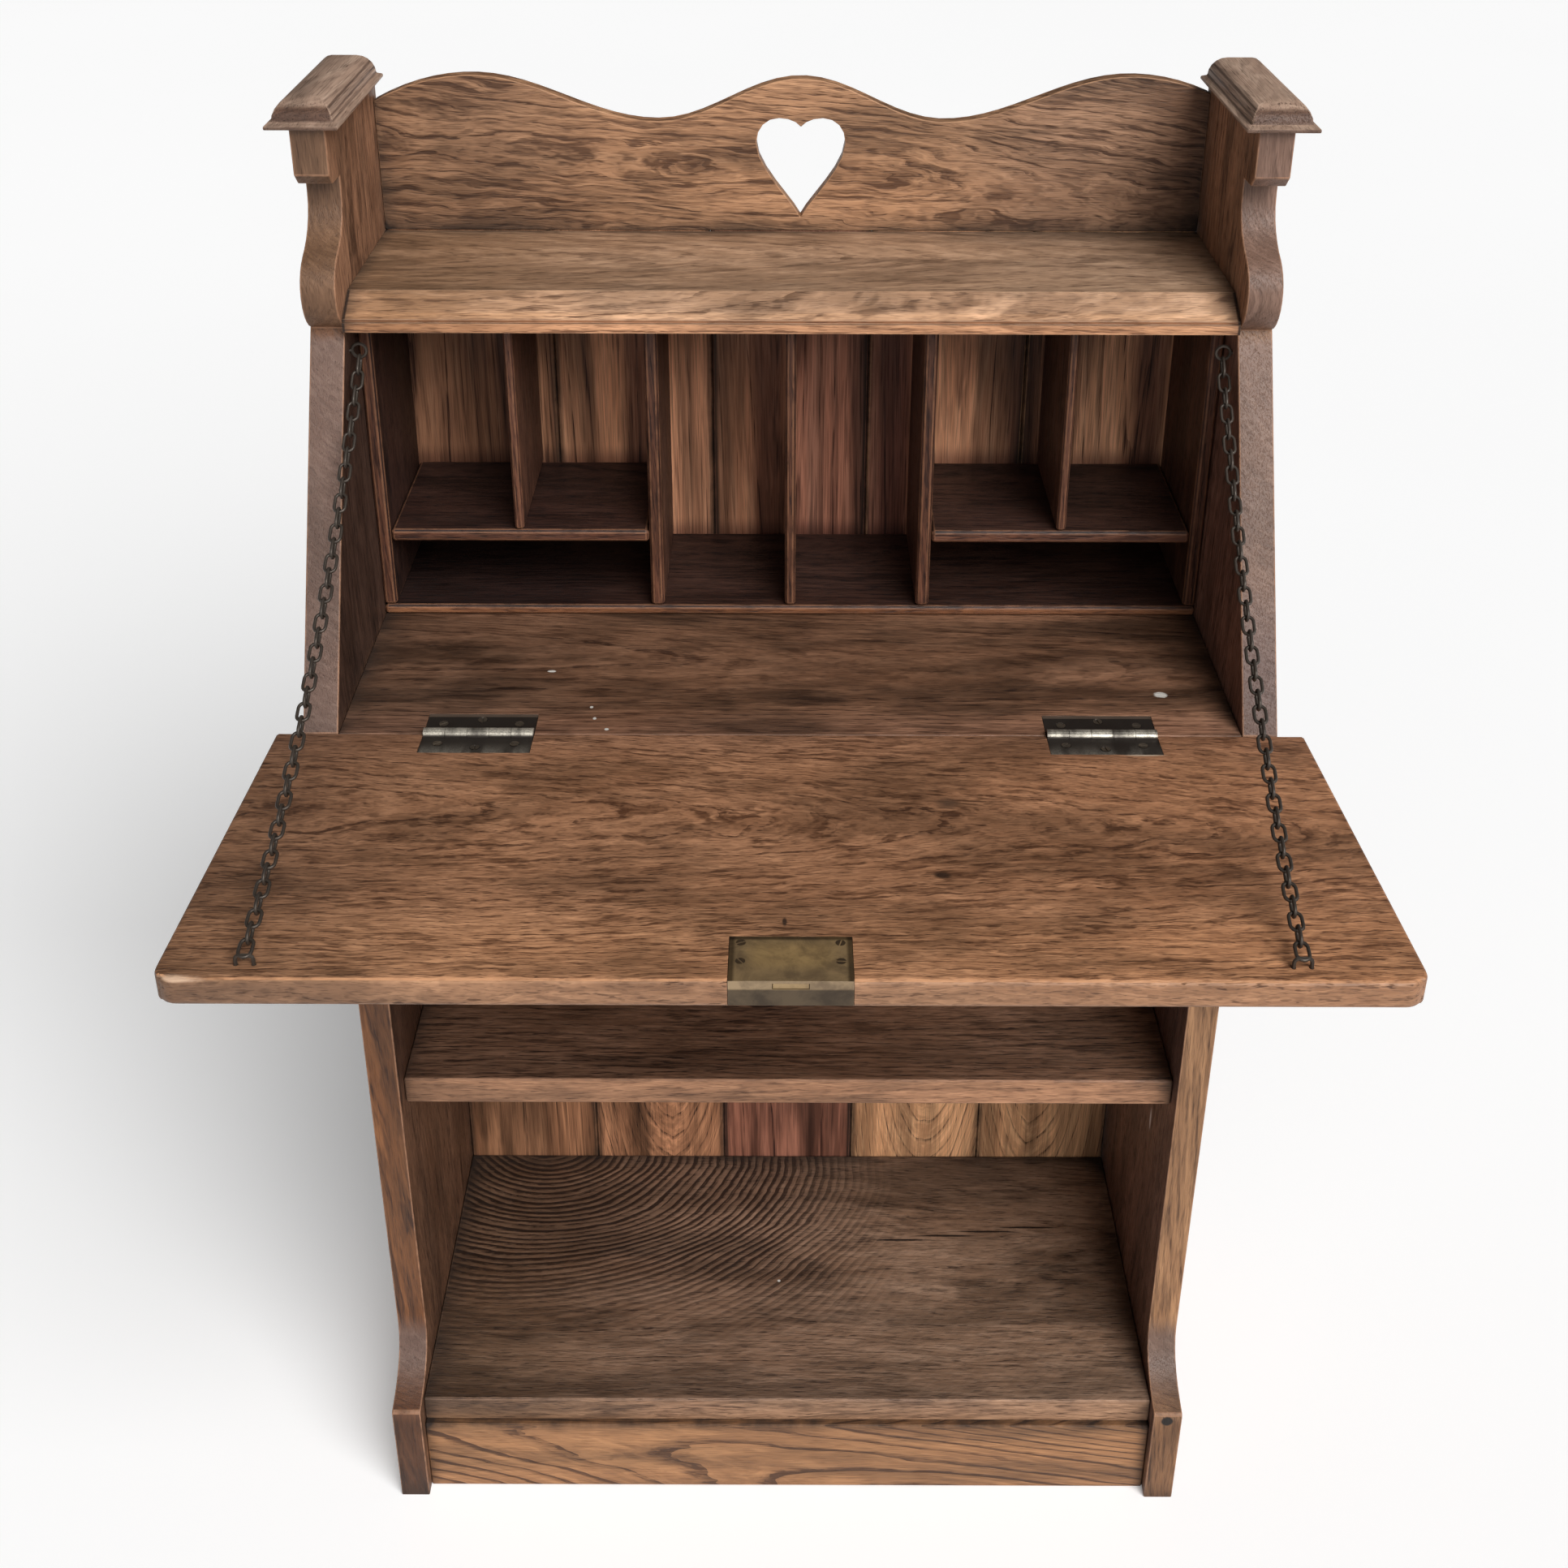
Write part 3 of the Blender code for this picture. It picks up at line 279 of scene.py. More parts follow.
@shader_group("Oak", {
    "Vector": "Vector, Seed, Pith, Lean", "Color": "Light, Brown, Dark",
    "Float": "Ring Pitch, Line Width, Waviness, Ripple, Stretch, Figure, Streaks, Pores, Mottle"}, SURFACE)
def oak_group(graph, given):
    """Solid oak: years as rings round a leaning pith, dark dashes that follow them, open pores, fibre and
    smudges. X runs along the grain."""
    half = (0.5, 0.5, 0.5)
    across = graph.parts(given["Vector"])
    drawn = graph.math("DIVIDE", across["X"], given["Stretch"])
    place = graph.vector("ADD", graph.join(drawn, across["Y"], across["Z"]), given["Seed"])
    slow = graph.drawn_noise(place, (2.2, 9.0, 9.0), 1.0, 0.5)["Color"]
    quick = graph.drawn_noise(place, (16.0, 50.0, 50.0), 2.0, 0.55)["Color"]
    ripple = graph.scaled(graph.vector("SUBTRACT", quick, half), given["Ripple"])
    sway = graph.vector("ADD", graph.vector("SUBTRACT", slow, half), ripple)
    leaned = graph.vector("ADD", given["Vector"], graph.scaled(given["Lean"], across["X"]))
    centred = graph.vector("SUBTRACT", leaned, given["Pith"])
    radial = graph.parts(graph.vector("ADD", centred, graph.scaled(sway, given["Waviness"])))
    square = graph.plus(graph.times(radial["Y"], radial["Y"]), graph.times(radial["Z"], radial["Z"]))
    radius = graph.math("SQRT", square)
    years = graph.math("DIVIDE", radius, given["Ring Pitch"])
    early = graph.span(graph.math("FRACT", years), given["Line Width"], 0.0)
    which = graph.node("ShaderNodeTexWhiteNoise", {"W": graph.math("FLOOR", years)}, noise_dimensions="1D")
    early = graph.times(early, graph.times_plus(which.outputs["Value"], 0.9, 0.3))
    flow = graph.join(drawn, radius, graph.minus(radial["Y"], radial["Z"]))
    flow = graph.vector("ADD", flow, given["Seed"])
    broad = graph.parts(graph.drawn_noise(flow, (22.0, 380.0, 70.0), 3.0, 0.62)["Color"])
    dashes = graph.span(broad["X"], 0.48, 0.58)
    glints = graph.span(broad["Y"], 0.48, 0.62)
    fine = graph.span(graph.drawn_noise(flow, (48.0, 760.0, 140.0), 2.0, 0.6)["Fac"], 0.46, 0.58)
    pores = graph.span(graph.drawn_noise(place, (90.0, 1000.0, 1000.0), 1.0, 0.5)["Fac"], 0.52, 0.64)
    pores = graph.times(pores, graph.times_plus(early, 0.7, 0.5))
    cloud = graph.drawn_noise(place, (5.0, 20.0, 20.0), 4.0, 0.62)
    tone = graph.span(cloud["Fac"], 0.34, 0.66)
    clumps = graph.span(graph.drawn_noise(place, (9.0, 44.0, 44.0), 2.0, 0.5)["Fac"], 0.36, 0.60, 0.25, 1.0)
    fibre = graph.drawn_noise(place, (40.0, 1300.0, 1300.0), 1.0, 0.5)["Fac"]
    pale = graph.plus(graph.times(tone, 0.4), graph.times(glints, 0.5))
    pale = graph.plus(pale, graph.times_plus(fibre, 0.6, -0.2), clamp=True)
    body = graph.mix(pale, given["Brown"], given["Light"])
    lines = graph.times(early, graph.times_plus(fine, 0.5, 0.5))
    marks = graph.times_plus(graph.times(dashes, clumps), 0.75, graph.times(fine, 0.4))
    dark = graph.times(lines, given["Figure"])
    dark = graph.times_plus(marks, given["Streaks"], dark)
    dark = graph.times_plus(pores, given["Pores"], dark, clamp=True)
    body = graph.mix(dark, body, given["Dark"])
    shadow = graph.span(graph.parts(cloud["Color"])["Z"], 0.36, 0.58)
    shadow = graph.times_plus(graph.minus(shadow, 0.7), given["Mottle"], 1.0)
    body = graph.mix(1.0, body, shadow, "MULTIPLY")
    shine = graph.plus(0.42, graph.plus(graph.times(pores, 0.2), graph.times(tone, 0.1)))
    height = graph.minus(graph.times(fibre, 0.3), graph.plus(pores, graph.times(dark, 0.5)))
    return {"Color": body, "Roughness": shine, "Height": height}


@shader_group("Board ends", {
    "Vector": "Vector, Low, High, Width, Low Weights, High Weights", "Float": "Breakup"}, MASK)
def ends_group(graph, given):
    """How near a point is to chosen faces of a board's box, with a weight for each low and each high face."""
    total = 0.0
    for first, second, weights in (("Vector", "Low", "Low Weights"), ("High", "Vector", "High Weights")):
        depth = graph.vector("DIVIDE", graph.vector("SUBTRACT", given[first], given[second]), given["Width"])
        near = graph.vector("MAXIMUM", graph.vector("SUBTRACT", (1.0, 1.0, 1.0), depth), (0.0, 0.0, 0.0))
        near = graph.vector("MINIMUM", near, (1.0, 1.0, 1.0))
        near = graph.vector("MULTIPLY", near, near)
        total = graph.plus(total, graph.vector("DOT_PRODUCT", near, given[weights]))
    rough = graph.span(graph.noise(given["Vector"], 4.0, 0.65, 28.0)["Fac"], 0.30, 0.68)
    uneven = graph.plus(graph.minus(1.0, given["Breakup"]), graph.times(given["Breakup"], rough))
    return {"Mask": graph.times(total, uneven, clamp=True)}


@shader_group("Spot", {"Vector": "Vector, Place, Reach", "Float": "Softness, Ragged"}, MASK)
def spot_group(graph, given):
    """A spot of a given place and reach, with a soft or ragged rim."""
    offset = graph.vector("SUBTRACT", given["Vector"], given["Place"])
    away = graph.vector("LENGTH", graph.vector("DIVIDE", offset, given["Reach"]))
    rim = graph.noise(given["Vector"], 2.0, 0.6, 260.0)["Fac"]
    away = graph.plus(away, graph.times(graph.minus(rim, 0.5), given["Ragged"]))
    outer = graph.plus(1.0, given["Softness"])
    inner = graph.minus(1.0, given["Softness"])
    return {"Mask": graph.span(away, outer, inner)}


@shader_group("Rubbed arris", {"Vector": "Vector", "Float": "Arris, Amount"}, MASK)
def rubbed_group(graph, given):
    """Wear along eased arrises, broken into rubbed stretches and stretches that kept their finish."""
    chips = graph.span(graph.noise(given["Vector"], 3.0, 0.6, 70.0)["Fac"], 0.30, 0.62, 0.25, 1.0)
    return {"Mask": graph.times(graph.times(given["Arris"], chips), given["Amount"], clamp=True)}


@shader_group("Patina", {
    "Vector": "Vector", "Color": "Body, Bright, Tarnish",
    "Float": "Cloud Scale, Tarnish Amount, Rub"}, SURFACE)
def patina_group(graph, given):
    """Old metal: cloudy tarnish over a body colour, rubbed bright where a given mask says so."""
    cloud = graph.noise(given["Vector"], 5.0, 0.62, given["Cloud Scale"], 0.4)["Fac"]
    fine = graph.noise(given["Vector"], 3.0, 0.6, 900.0)["Fac"]
    dull = graph.times(graph.span(cloud, 0.36, 0.66), given["Tarnish Amount"], clamp=True)
    rub = graph.times(given["Rub"], graph.span(fine, 0.28, 0.62, 0.45, 1.0), clamp=True)
    body = graph.mix(dull, given["Body"], given["Tarnish"])
    body = graph.mix(rub, body, given["Bright"])
    shine = graph.plus(0.34, graph.plus(graph.times(dull, 0.30), graph.times(fine, 0.12)))
    shine = graph.minus(shine, graph.times(rub, 0.12))
    height = graph.plus(graph.times(fine, 0.4), graph.times(cloud, 0.6))
    return {"Color": body, "Roughness": shine, "Height": height}


# Masks: each is a function of a graph, the place and the normal

def facing(axis, sign, low=0.35, high=0.65):
    """The faces that look one way along an axis, or both ways when sign is 0."""
    def mask(graph, place, normal):
        part = graph.parts(normal)[axis]
        part = graph.times(part, sign) if sign else graph.math("ABSOLUTE", part)
        return graph.span(part, low, high)
    return mask


def between(axis, low, high, soft):
    """The stretch of a board between two places along an axis."""
    def mask(graph, place, normal):
        along = graph.parts(place)[axis]
        after = graph.span(along, low - soft, low + soft)
        return graph.times(after, graph.span(along, high + soft, high - soft))
    return mask


def before(axis, place, soft):
    """All of a board up to a place along an axis."""
    return between(axis, -FAR, place, soft)


def beyond(axis, place, soft):
    """All of a board from a place along an axis."""
    return between(axis, place, FAR, soft)


def both(first, second):
    """What two masks share."""
    def mask(graph, place, normal):
        return graph.times(first(graph, place, normal), second(graph, place, normal))
    return mask


FRONT = facing("Y", -1)
TOP = facing("Z", 1)


# Materials

GRAIN = {"X": ("X", "Y", "Z"), "Y": ("Y", "X", "Z"), "Z": ("Z", "X", "Y")}
CUT = dict(seed=0.0, pith=(0.0, -0.06), lean=(0.0, 0.04), waviness=0.02, ripple=0.15, stretch=1.0, pitch=1.0,
           line=0.35, figure=0.45, streaks=0.75, pores=0.6, mottle=0.45)


def start_material(name):
    """A new material as itself, its graph, its shader and its coordinates."""
    material = bpy.data.materials.new(name)
    material.use_nodes = True
    graph = Graph(material.node_tree)
    shader = material.node_tree.nodes["Principled BSDF"]
    coords = graph.node("ShaderNodeTexCoord").outputs
    return material, graph, shader, coords


def finish_surface(graph, shader, body, rough, height, strength, relief):
    """Feeds a shader its colour and roughness, and its height as a bump."""
    bump = graph.node("ShaderNodeBump", {"Strength": strength, "Distance": relief, "Height": height})
    graph.feed(shader.inputs["Base Color"], body)
    graph.feed(shader.inputs["Roughness"], rough)
    graph.feed(shader.inputs["Normal"], bump.outputs["Normal"])


def tinted(tone, tint):
    return tuple(value * share for value, share in zip(tone, tint))


def palette(word, tint):
    """The three tones of one kind of oak, each multiplied by a tint."""
    oak = bpy.context.scene.bureau_oak
    return {tone: tinted(getattr(oak, f"{word}_{tone.lower()}"), tint) for tone in TONES}


def oak_layer(graph, grain, tones, tint, cut):
    """Oak in one set of tones; cut says where the pith lay and how strongly rings, dashes and pores show."""
    cut = {**CUT, **cut}
    seed = cut["seed"]
    words = ("waviness", "ripple", "stretch", "figure", "streaks", "pores", "mottle")
    return graph.group(oak_group(), {
        "Vector": grain, "Seed": (0.137 * seed, 0.071 * seed + 0.3, 0.213 * seed),
        "Pith": (0.0, *cut["pith"]), "Lean": (0.0, *cut["lean"]), "Line Width": cut["line"],
        "Ring Pitch": bpy.context.scene.bureau_oak.ring_pitch * cut["pitch"],
        **{word.title(): cut[word] for word in words}, **palette(tones, tint)})


def arris_mark(graph):
    """The mark that soften leaves on eased arrises."""
    return graph.node("ShaderNodeAttribute", attribute_name="arris").outputs["Fac"]


def oak_material(name, node, along, tones, tint, cut, layers=(), shades=(), low_grime=(0, 0, 0),
                 high_grime=(0, 0, 0), grime_reach=0.02, edge_wear=0.55, wear_tint=WHITE, spots=()):
    """Oak for one board. Layers and shades put other tones or a tint where a mask says so; the weights of
    dirt and painted shade name the faces of the board's box; edge_wear says how far eased arrises are rubbed
    to the pale tone times wear_tint; spots are place, reach, colour, softness and raggedness."""
    oak = bpy.context.scene.bureau_oak
    material, graph, shader, coords = start_material(name)
    low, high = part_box(node)
    place, normal = coords["Object"], coords["Normal"]
    xyz = graph.parts(graph.vector("SUBTRACT", place, tuple((low + high) / 2)))
    grain = graph.join(*(xyz[axis] for axis in GRAIN[along]))
    wood = oak_layer(graph, grain, tones, tint, cut)
    body, rough = wood["Color"], wood["Roughness"]
    for mask, layer_tones, layer_tint, layer_cut in layers:
        other = oak_layer(graph, grain, layer_tones, layer_tint, {**cut, **layer_cut})
        body = graph.mix(mask(graph, place, normal), body, other["Color"])
    for mask, shade in shades:
        body = graph.mix(mask(graph, place, normal), body, shade, "MULTIPLY")
    rubbed = graph.group(rubbed_group(), {"Vector": place, "Arris": arris_mark(graph), "Amount": edge_wear})
    body = graph.mix(rubbed["Mask"], body, tinted(palette(tones, tint)["Light"], wear_tint))
    # Darker towards the chosen faces of the box: dirt, and painted shade where the board meets other parts
    if any(low_grime) or any(high_grime):
        dirty = graph.group(ends_group(), {
            "Vector": place, "Low": tuple(low), "High": tuple(high), "Width": (grime_reach,) * 3,
            "Low Weights": low_grime, "High Weights": high_grime, "Breakup": 0.55})["Mask"]
        body = graph.mix(dirty, body, tuple(oak.grime))
        rough = graph.plus(rough, graph.times(dirty, 0.25), clamp=True)
    for spot_place, reach, spot_colour, softness, ragged in spots:
        mask = graph.group(spot_group(), {"Vector": place, "Place": spot_place, "Reach": reach,
                                          "Softness": softness, "Ragged": ragged})
        body = graph.mix(mask["Mask"], body, spot_colour)
    finish_surface(graph, shader, body, rough, wood["Height"], 0.45, oak.pore_relief)
    shader.inputs["Specular IOR Level"].default_value = 0.34
    return material


def metal_material(name, body, bright, tarnish, dullness, cloud_scale=60.0, rub=None, metallic=0.9,
                   shades=()):
    """Old metal; rub is a function of the graph and its coordinates that gives the rubbed places."""
    metal = bpy.context.scene.bureau_metal
    material, graph, shader, coords = start_material(name)
    colours = {"Body": body, "Bright": bright, "Tarnish": tarnish}
    old = graph.group(patina_group(), {
        "Vector": coords["Object"], "Cloud Scale": cloud_scale, "Tarnish Amount": dullness,
        "Rub": rub(graph, coords) if rub else 0.0,
        **{word: tuple(getattr(metal, key)) for word, key in colours.items()}})
    tone = old["Color"]
    for mask, shade in shades:
        tone = graph.mix(mask(graph, coords["Object"], coords["Normal"]), tone, shade, "MULTIPLY")
    finish_surface(graph, shader, tone, old["Roughness"], old["Height"], 0.35, 0.0002)
    shader.inputs["Metallic"].default_value = metallic
    return material


# Meshes

HOLE = 0.030
PROUD = 0.0001
TOUCH = 0.00001
FLAT = math.radians(0.8)


def body_of(node):
    for body, nodes in frame["record"]["behaviour"]["bodies"].items():
        if node in nodes:
            return body
    raise RuntimeError(f"no body holds {node}")


def add_object(name, data):
    """A new object in the scene."""
    thing = bpy.data.objects.new(name, data)
    bpy.context.scene.collection.objects.link(thing)
    return thing


def add_piece(name, shape, body, material, smooth_angle=40.0):
    """Makes a bmesh into an object that rides on a body."""
    bmesh.ops.recalc_face_normals(shape, faces=shape.faces)
    mesh = bpy.data.meshes.new(name)
    shape.to_mesh(mesh)
    shape.free()
    mesh.shade_smooth()
    mesh.set_sharp_from_angle(angle=math.radians(smooth_angle))
    mesh.materials.append(material)
    thing = add_object(name, mesh)
    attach(thing, body)
    return thing


def outlines(edges):
    """Those of some sharp edges that run on into an outline larger than a drilled hole or a slot."""
    kept, waiting = [], set(edges)
    while waiting:
        group, ends = [], [waiting.pop()]
        while ends:
            edge = ends.pop()
            group.append(edge)
            for other in {near for vert in edge.verts for near in vert.link_edges} & waiting:
                waiting.remove(other)
                ends.append(other)
        places = [vert.co for edge in group for vert in edge.verts]
        if max(max(axis) - min(axis) for axis in zip(*places)) > HOLE:
            kept += group
    return kept


def outermost(edges, verts):
    """Those of some sharp edges that lie on the outermost form of a board, and not in a recess or a hole."""
    def outside(face):
        return all((vert.co - face.verts[0].co).dot(face.normal) < PROUD for vert in verts)
    return [edge for edge in edges if all(outside(face) for face in edge.link_faces)]


def round_corners(shape, low, high, radius, steps=6):
    """Rounds the two front corners of a board, seen from above, by bending cut rows of vertices to an arc."""
    side, front = high.x - radius, low.y + radius
    for k in range(steps):
        part = radius * k / steps
        for place, across in (((side + part, 0, 0), (1, 0, 0)), ((-side - part, 0, 0), (1, 0, 0)),
                              ((0, front - part, 0), (0, 1, 0))):
            bmesh.ops.bisect_plane(shape, geom=[*shape.verts, *shape.edges, *shape.faces], dist=TOUCH,
                                   plane_co=Vector(place), plane_no=Vector(across))
    for vert in shape.verts:
        out, ahead = abs(vert.co.x) - side, front - vert.co.y
        if out > 0 and ahead > 0:
            share = max(out, ahead) / math.hypot(out, ahead)
            vert.co.x = math.copysign(side + out * share, vert.co.x)
            vert.co.y = front - ahead * share


def soften(node, radius, material, segments=3, limit=24.0, corners=0.0):
    """A copy of a board with its arrises eased by hand and marked for wear, which stands for the board;
    corners is the radius of its two front corners. Edges of small holes stay crisp."""
    shape = bmesh.new()
    shape.from_mesh(frame["nodes"][node].data)
    bmesh.ops.remove_doubles(shape, verts=shape.verts, dist=TOUCH)
    bmesh.ops.dissolve_limit(shape, angle_limit=FLAT, verts=shape.verts, edges=shape.edges)
    if corners:
        round_corners(shape, *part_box(node), corners)
    share = shape.edges.layers.float.new("bevel_weight_edge")
    sharp = [edge for edge in shape.edges
             if edge.is_manifold and edge.calc_face_angle() > math.radians(limit)]
    for part in (*shape.faces, *shape.edges):
        part.smooth = True
    for edge in sharp:
        edge.smooth = False
    for edge in outermost(sharp, list(shape.verts)) if corners else outlines(sharp):
        edge.smooth = True
        edge[share] = 1.0
    rough = bpy.data.meshes.new(f"{node}_sawn")
    shape.to_mesh(rough)
    shape.free()
    if "custom_normal" in rough.attributes:
        rough.attributes.remove(rough.attributes["custom_normal"])
    rough.materials.clear()
    for slot in range(2):
        rough.materials.append(material)
    thing = add_object(f"{node}_eased", rough)
    ease = thing.modifiers.new("eased arrises", "BEVEL")
    ease.width = radius
    ease.segments = segments
    ease.limit_method = "WEIGHT"
    ease.harden_normals = True
    ease.use_clamp_overlap = True
    ease.material = 1
    mesh = bpy.data.meshes.new_from_object(thing.evaluated_get(bpy.context.evaluated_depsgraph_get()))
    thing.modifiers.clear()
    thing.data = mesh
    bpy.data.meshes.remove(rough)
    arris = mesh.attributes.new("arris", "FLOAT", "FACE")
    arris.data.foreach_set("value", [float(face.material_index) for face in mesh.polygons])
    mesh.polygons.foreach_set("material_index", [0] * len(mesh.polygons))
    mesh.materials.pop()
    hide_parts(node)
    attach(thing, body_of(node))
    return thing


def oak_board(node, radius, name, along, tones, tint, cut, segments=3, limit=24.0, corners=0.0, **finish):
    """A board in oak with eased arrises."""
    material = oak_material(name, node, along, tones, tint, cut, **finish)
    return soften(node, radius, material, segments, limit, corners)


def paint(node, material):
    """Gives a piece that stays as it is a better finish."""
    mesh = frame["nodes"][node].data
    mesh.materials.clear()
    mesh.materials.append(material)


def tube_ring(shape, points, radius, across, sides):
    """A closed loop of round wire through points, added to a bmesh; the loop's plane is square to across."""
    rings = []
    count = len(points)
    for i, point in enumerate(points):
        forward = (points[(i + 1) % count] - points[i - 1]).normalized()
        up = forward.cross(across).normalized()
        turns = [2 * math.pi * k / sides for k in range(sides)]
        rings.append([shape.verts.new(point + radius * (math.cos(turn) * across + math.sin(turn) * up))
                      for turn in turns])
    for i, ring in enumerate(rings):
        following = rings[(i + 1) % count]
        for k in range(sides):
            m = (k + 1) % sides
            shape.faces.new((ring[k], ring[m], following[m], following[k]))


def slotted_head(shape, place, up, turn, radius, depth, sides=20):
    """A countersunk screw head, its face at place looking up, its slot turned round by an angle."""
    side = up.cross(Vector((math.cos(turn), math.sin(turn), 0.0))).normalized()
    along = side.cross(up).normalized()
    slot = radius * 0.16
    reach = math.sqrt(radius * radius - slot * slot)
    start = math.asin(slot / radius)
    sink = -up * (radius * 0.28)
    cone = -up * depth
    for sign in (1, -1):
        outline = []
        for i in range(sides // 2 + 1):
            around = start + (math.pi - 2 * start) * i / (sides // 2)
            across = side * (sign * radius * math.sin(around))
            outline.append(place + along * (radius * math.cos(around)) + across)
        top = [shape.verts.new(p) for p in outline]
        low = [shape.verts.new(place + (p - place) * 0.45 + cone) for p in outline]
        shape.faces.new(top)
        shape.faces.new(list(reversed(low)))
        for i in range(len(top)):
            j = (i + 1) % len(top)
            shape.faces.new((top[i], top[j], low[j], low[i]))
    shape.faces.new([shape.verts.new(place + sink + along * (a * reach * 0.97) + side * (b * slot * 1.5))
                     for a, b in ((-1, -1), (1, -1), (1, 1), (-1, 1))])


# Operators

class BUREAU_OT_sides(bpy.types.Operator):
    """Oak planks of the two sides, greyed on their front edges"""

    bl_idname = "bureau.sides"
    bl_label = "Sides"

    def execute(self, context):
        desk, slope, shelf = 0.770, 0.775, 1.022
        edges = facing("X", 0, 0.85, 0.55)
        slopes = both(edges, between("Z", slope, 1.018, 0.006))
        slope_low = both(edges, between("Z", slope, 0.850, 0.03))
        # ogee: the up-facing curve above each foot turns greyer, painted sheen and dust
        ogee = both(edges, between("Z", 0.105, 0.150, 0.015))
        upright = both(edges, between("Z", 0.25, desk, 0.06))
        scrolls = both(edges, beyond("Z", shelf, 0.008))
        foot = both(edges, before("Z", 0.10, 0.012))
        plug = ((0.3195, -0.0140, 0.0960), (0.005, 0.006, 0.005), (0.012, 0.008, 0.006), 0.2, 0.25)
        smear = ((0.3077, 0.1090, 0.3130), (0.0040, 0.0022, 0.0100), (0.600, 0.540, 0.500), 0.5, 0.4)
        smooth = dict(figure=0.1, streaks=0.22, pores=0.3, mottle=0.25)
        tints = {
            "side_left": dict(
                edge=(0.44, 0.33, 0.21), slope=(0.46, 0.43, 0.46), foot=(0.44, 0.44, 0.50),
                ogee=(0.40, 0.37, 0.40), middle=(0.22, 0.22, 0.26), below=(0.48, 0.46, 0.45),
                scroll=(0.44, 0.47, 0.49), upright=(1.05, 1.10, 1.15), slope_low=WHITE),
            "side_right": dict(
                edge=(0.84, 0.88, 0.80), slope=(0.58, 0.53, 0.54), foot=(0.62, 0.58, 0.56),
                ogee=(0.52, 0.50, 0.53), middle=(0.90, 0.88, 1.10), below=(0.52, 0.51, 0.60),
                scroll=(0.52, 0.62, 0.86), upright=(0.82, 0.82, 0.82), slope_low=(0.70, 0.73, 0.83))}
        for node, inward, seed, spots in (("side_left", 1, 1.0, ()), ("side_right", -1, 2.0, (plug, smear))):
            tint = tints[node]
            inside = facing("X", inward, 0.6, 0.9)
            oak_board(
                node, 0.0030, f"{node}_oak", "Z", "face", (0.95, 1.0, 1.1),
                dict(seed=seed, pith=(0.05, 0.05), lean=(0.03, 0.02)), 4,
                layers=((edges, "face", tint["edge"], dict(streaks=0.6, stretch=2.0)),
                        (slopes, "worn", tint["slope"], smooth), (ogee, "worn", tint["ogee"], smooth),
                        (scrolls, "face", tint["scroll"], {**smooth, "streaks": 0.3})),
                shades=((both(inside, between("Z", desk, shelf, 0.02)), tint["middle"]),
                        (both(inside, between("Z", 0.05, desk, 0.02)), tint["below"]),
                        # painted shadow of the open fall on the inside faces, between the lower shelf and the
                        # desk
                        (both(inside, between("Z", 0.400, desk, 0.02)), (0.50, 0.46, 0.46)),
                        (upright, tint["upright"]), (slope_low, tint["slope_low"]), (foot, tint["foot"])),
                low_grime=(0, 0, 0.8), grime_reach=0.03, spots=spots)
        return {"FINISHED"}


class BUREAU_OT_top(bpy.types.Operator):
    """Caps, top shelf and gallery"""

    bl_idname = "bureau.top"
    bl_label = "Top shelf and gallery"

    def execute(self, context):
        slope = facing("X", 0, 0.25, 0.45)
        # painted shade of three fine grooves along each cap's slope
        quirk = (0.42, 0.38, 0.36)
        for seed, node in enumerate(("cap_left", "cap_right")):
            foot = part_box(node)[0].z
            quirks = [(both(slope, between("Z", foot + rise, foot + rise + 0.0011, 0.0004)), quirk)
                      for rise in (0.0034, 0.0072, 0.0112)]
            oak_board(node, 0.0010, f"{node}_oak", "Y", "worn", (1.16, 1.20, 1.24),
                      dict(seed=seed + 3.0, figure=0.2, streaks=0.5, pitch=0.8, stretch=3.0), limit=30.0,
                      shades=((FRONT, (0.27, 0.21, 0.185)), *quirks), edge_wear=0.2)
        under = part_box("top_shelf")[0].z
        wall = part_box("side_right")[0].x
        gap = (0.10, 0.08, 0.07)
        fronts = facing("Y", -1, 0.25, 0.45)
        level = facing("Z", 1, 0.8, 0.95)
        oak_board(
            "top_shelf", 0.0014, "top_shelf_oak", "X", "pale", WHITE,
            dict(seed=5.0, pith=(0.02, -0.09), lean=(0.02, 0.05), figure=0.35, streaks=0.55),
            layers=((fronts, "pale", (1.30, 1.26, 1.24), dict(figure=0.6, pitch=0.8)),),
            # painted shade towards the left end of the shelf, and a little towards the right end of its top
            shades=((before("X", -0.20, 0.08), (0.68, 0.65, 0.60)),
                    (both(level, beyond("X", 0.16, 0.08)), (0.92, 0.96, 1.0)),
                    (facing("Y", -1, 0.85, 0.95), (1.0, 0.86, 0.75)),
                    # painted shade in the quirk under the bevel
                    (between("Z", under + 0.0066, under + 0.0092, 0.0005), (0.50, 0.42, 0.36)),
                    (both(fronts, between("Z", under + 0.0096, under + 0.0122, 0.0008)), (1.20, 1.17, 1.12)),
                    (both(fronts, beyond("X", wall - 0.0022, 0.0006)), gap),
                    (both(fronts, before("X", 0.0022 - wall, 0.0006)), gap)),
            low_grime=(0.8, 0, 0), high_grime=(0.8, 0.9, 0), grime_reach=0.018)
        oak_board(
            "gallery_back", 0.0015, "gallery_oak", "X", "face", (1.14, 1.24, 1.26),
            dict(seed=6.0, pith=(-0.055, -0.02), lean=(0.02, 0.10), waviness=0.036, ripple=0.32, figure=0.8,
                 streaks=0.8, pitch=1.1, stretch=1.2),
            # painted shade towards both ends of the gallery's front, deepest beside the right cap
            shades=((both(FRONT, before("X", -0.17, 0.06)), (0.65, 0.65, 0.67)),
                    (both(FRONT, beyond("X", 0.14, 0.06)), (0.72, 0.75, 0.83)),
                    (both(FRONT, beyond("X", 0.270, 0.03)), (0.60, 0.56, 0.55))),
            low_grime=(0.9, 0, 0.9), high_grime=(0.9, 0, 0), grime_reach=0.022)
        return {"FINISHED"}


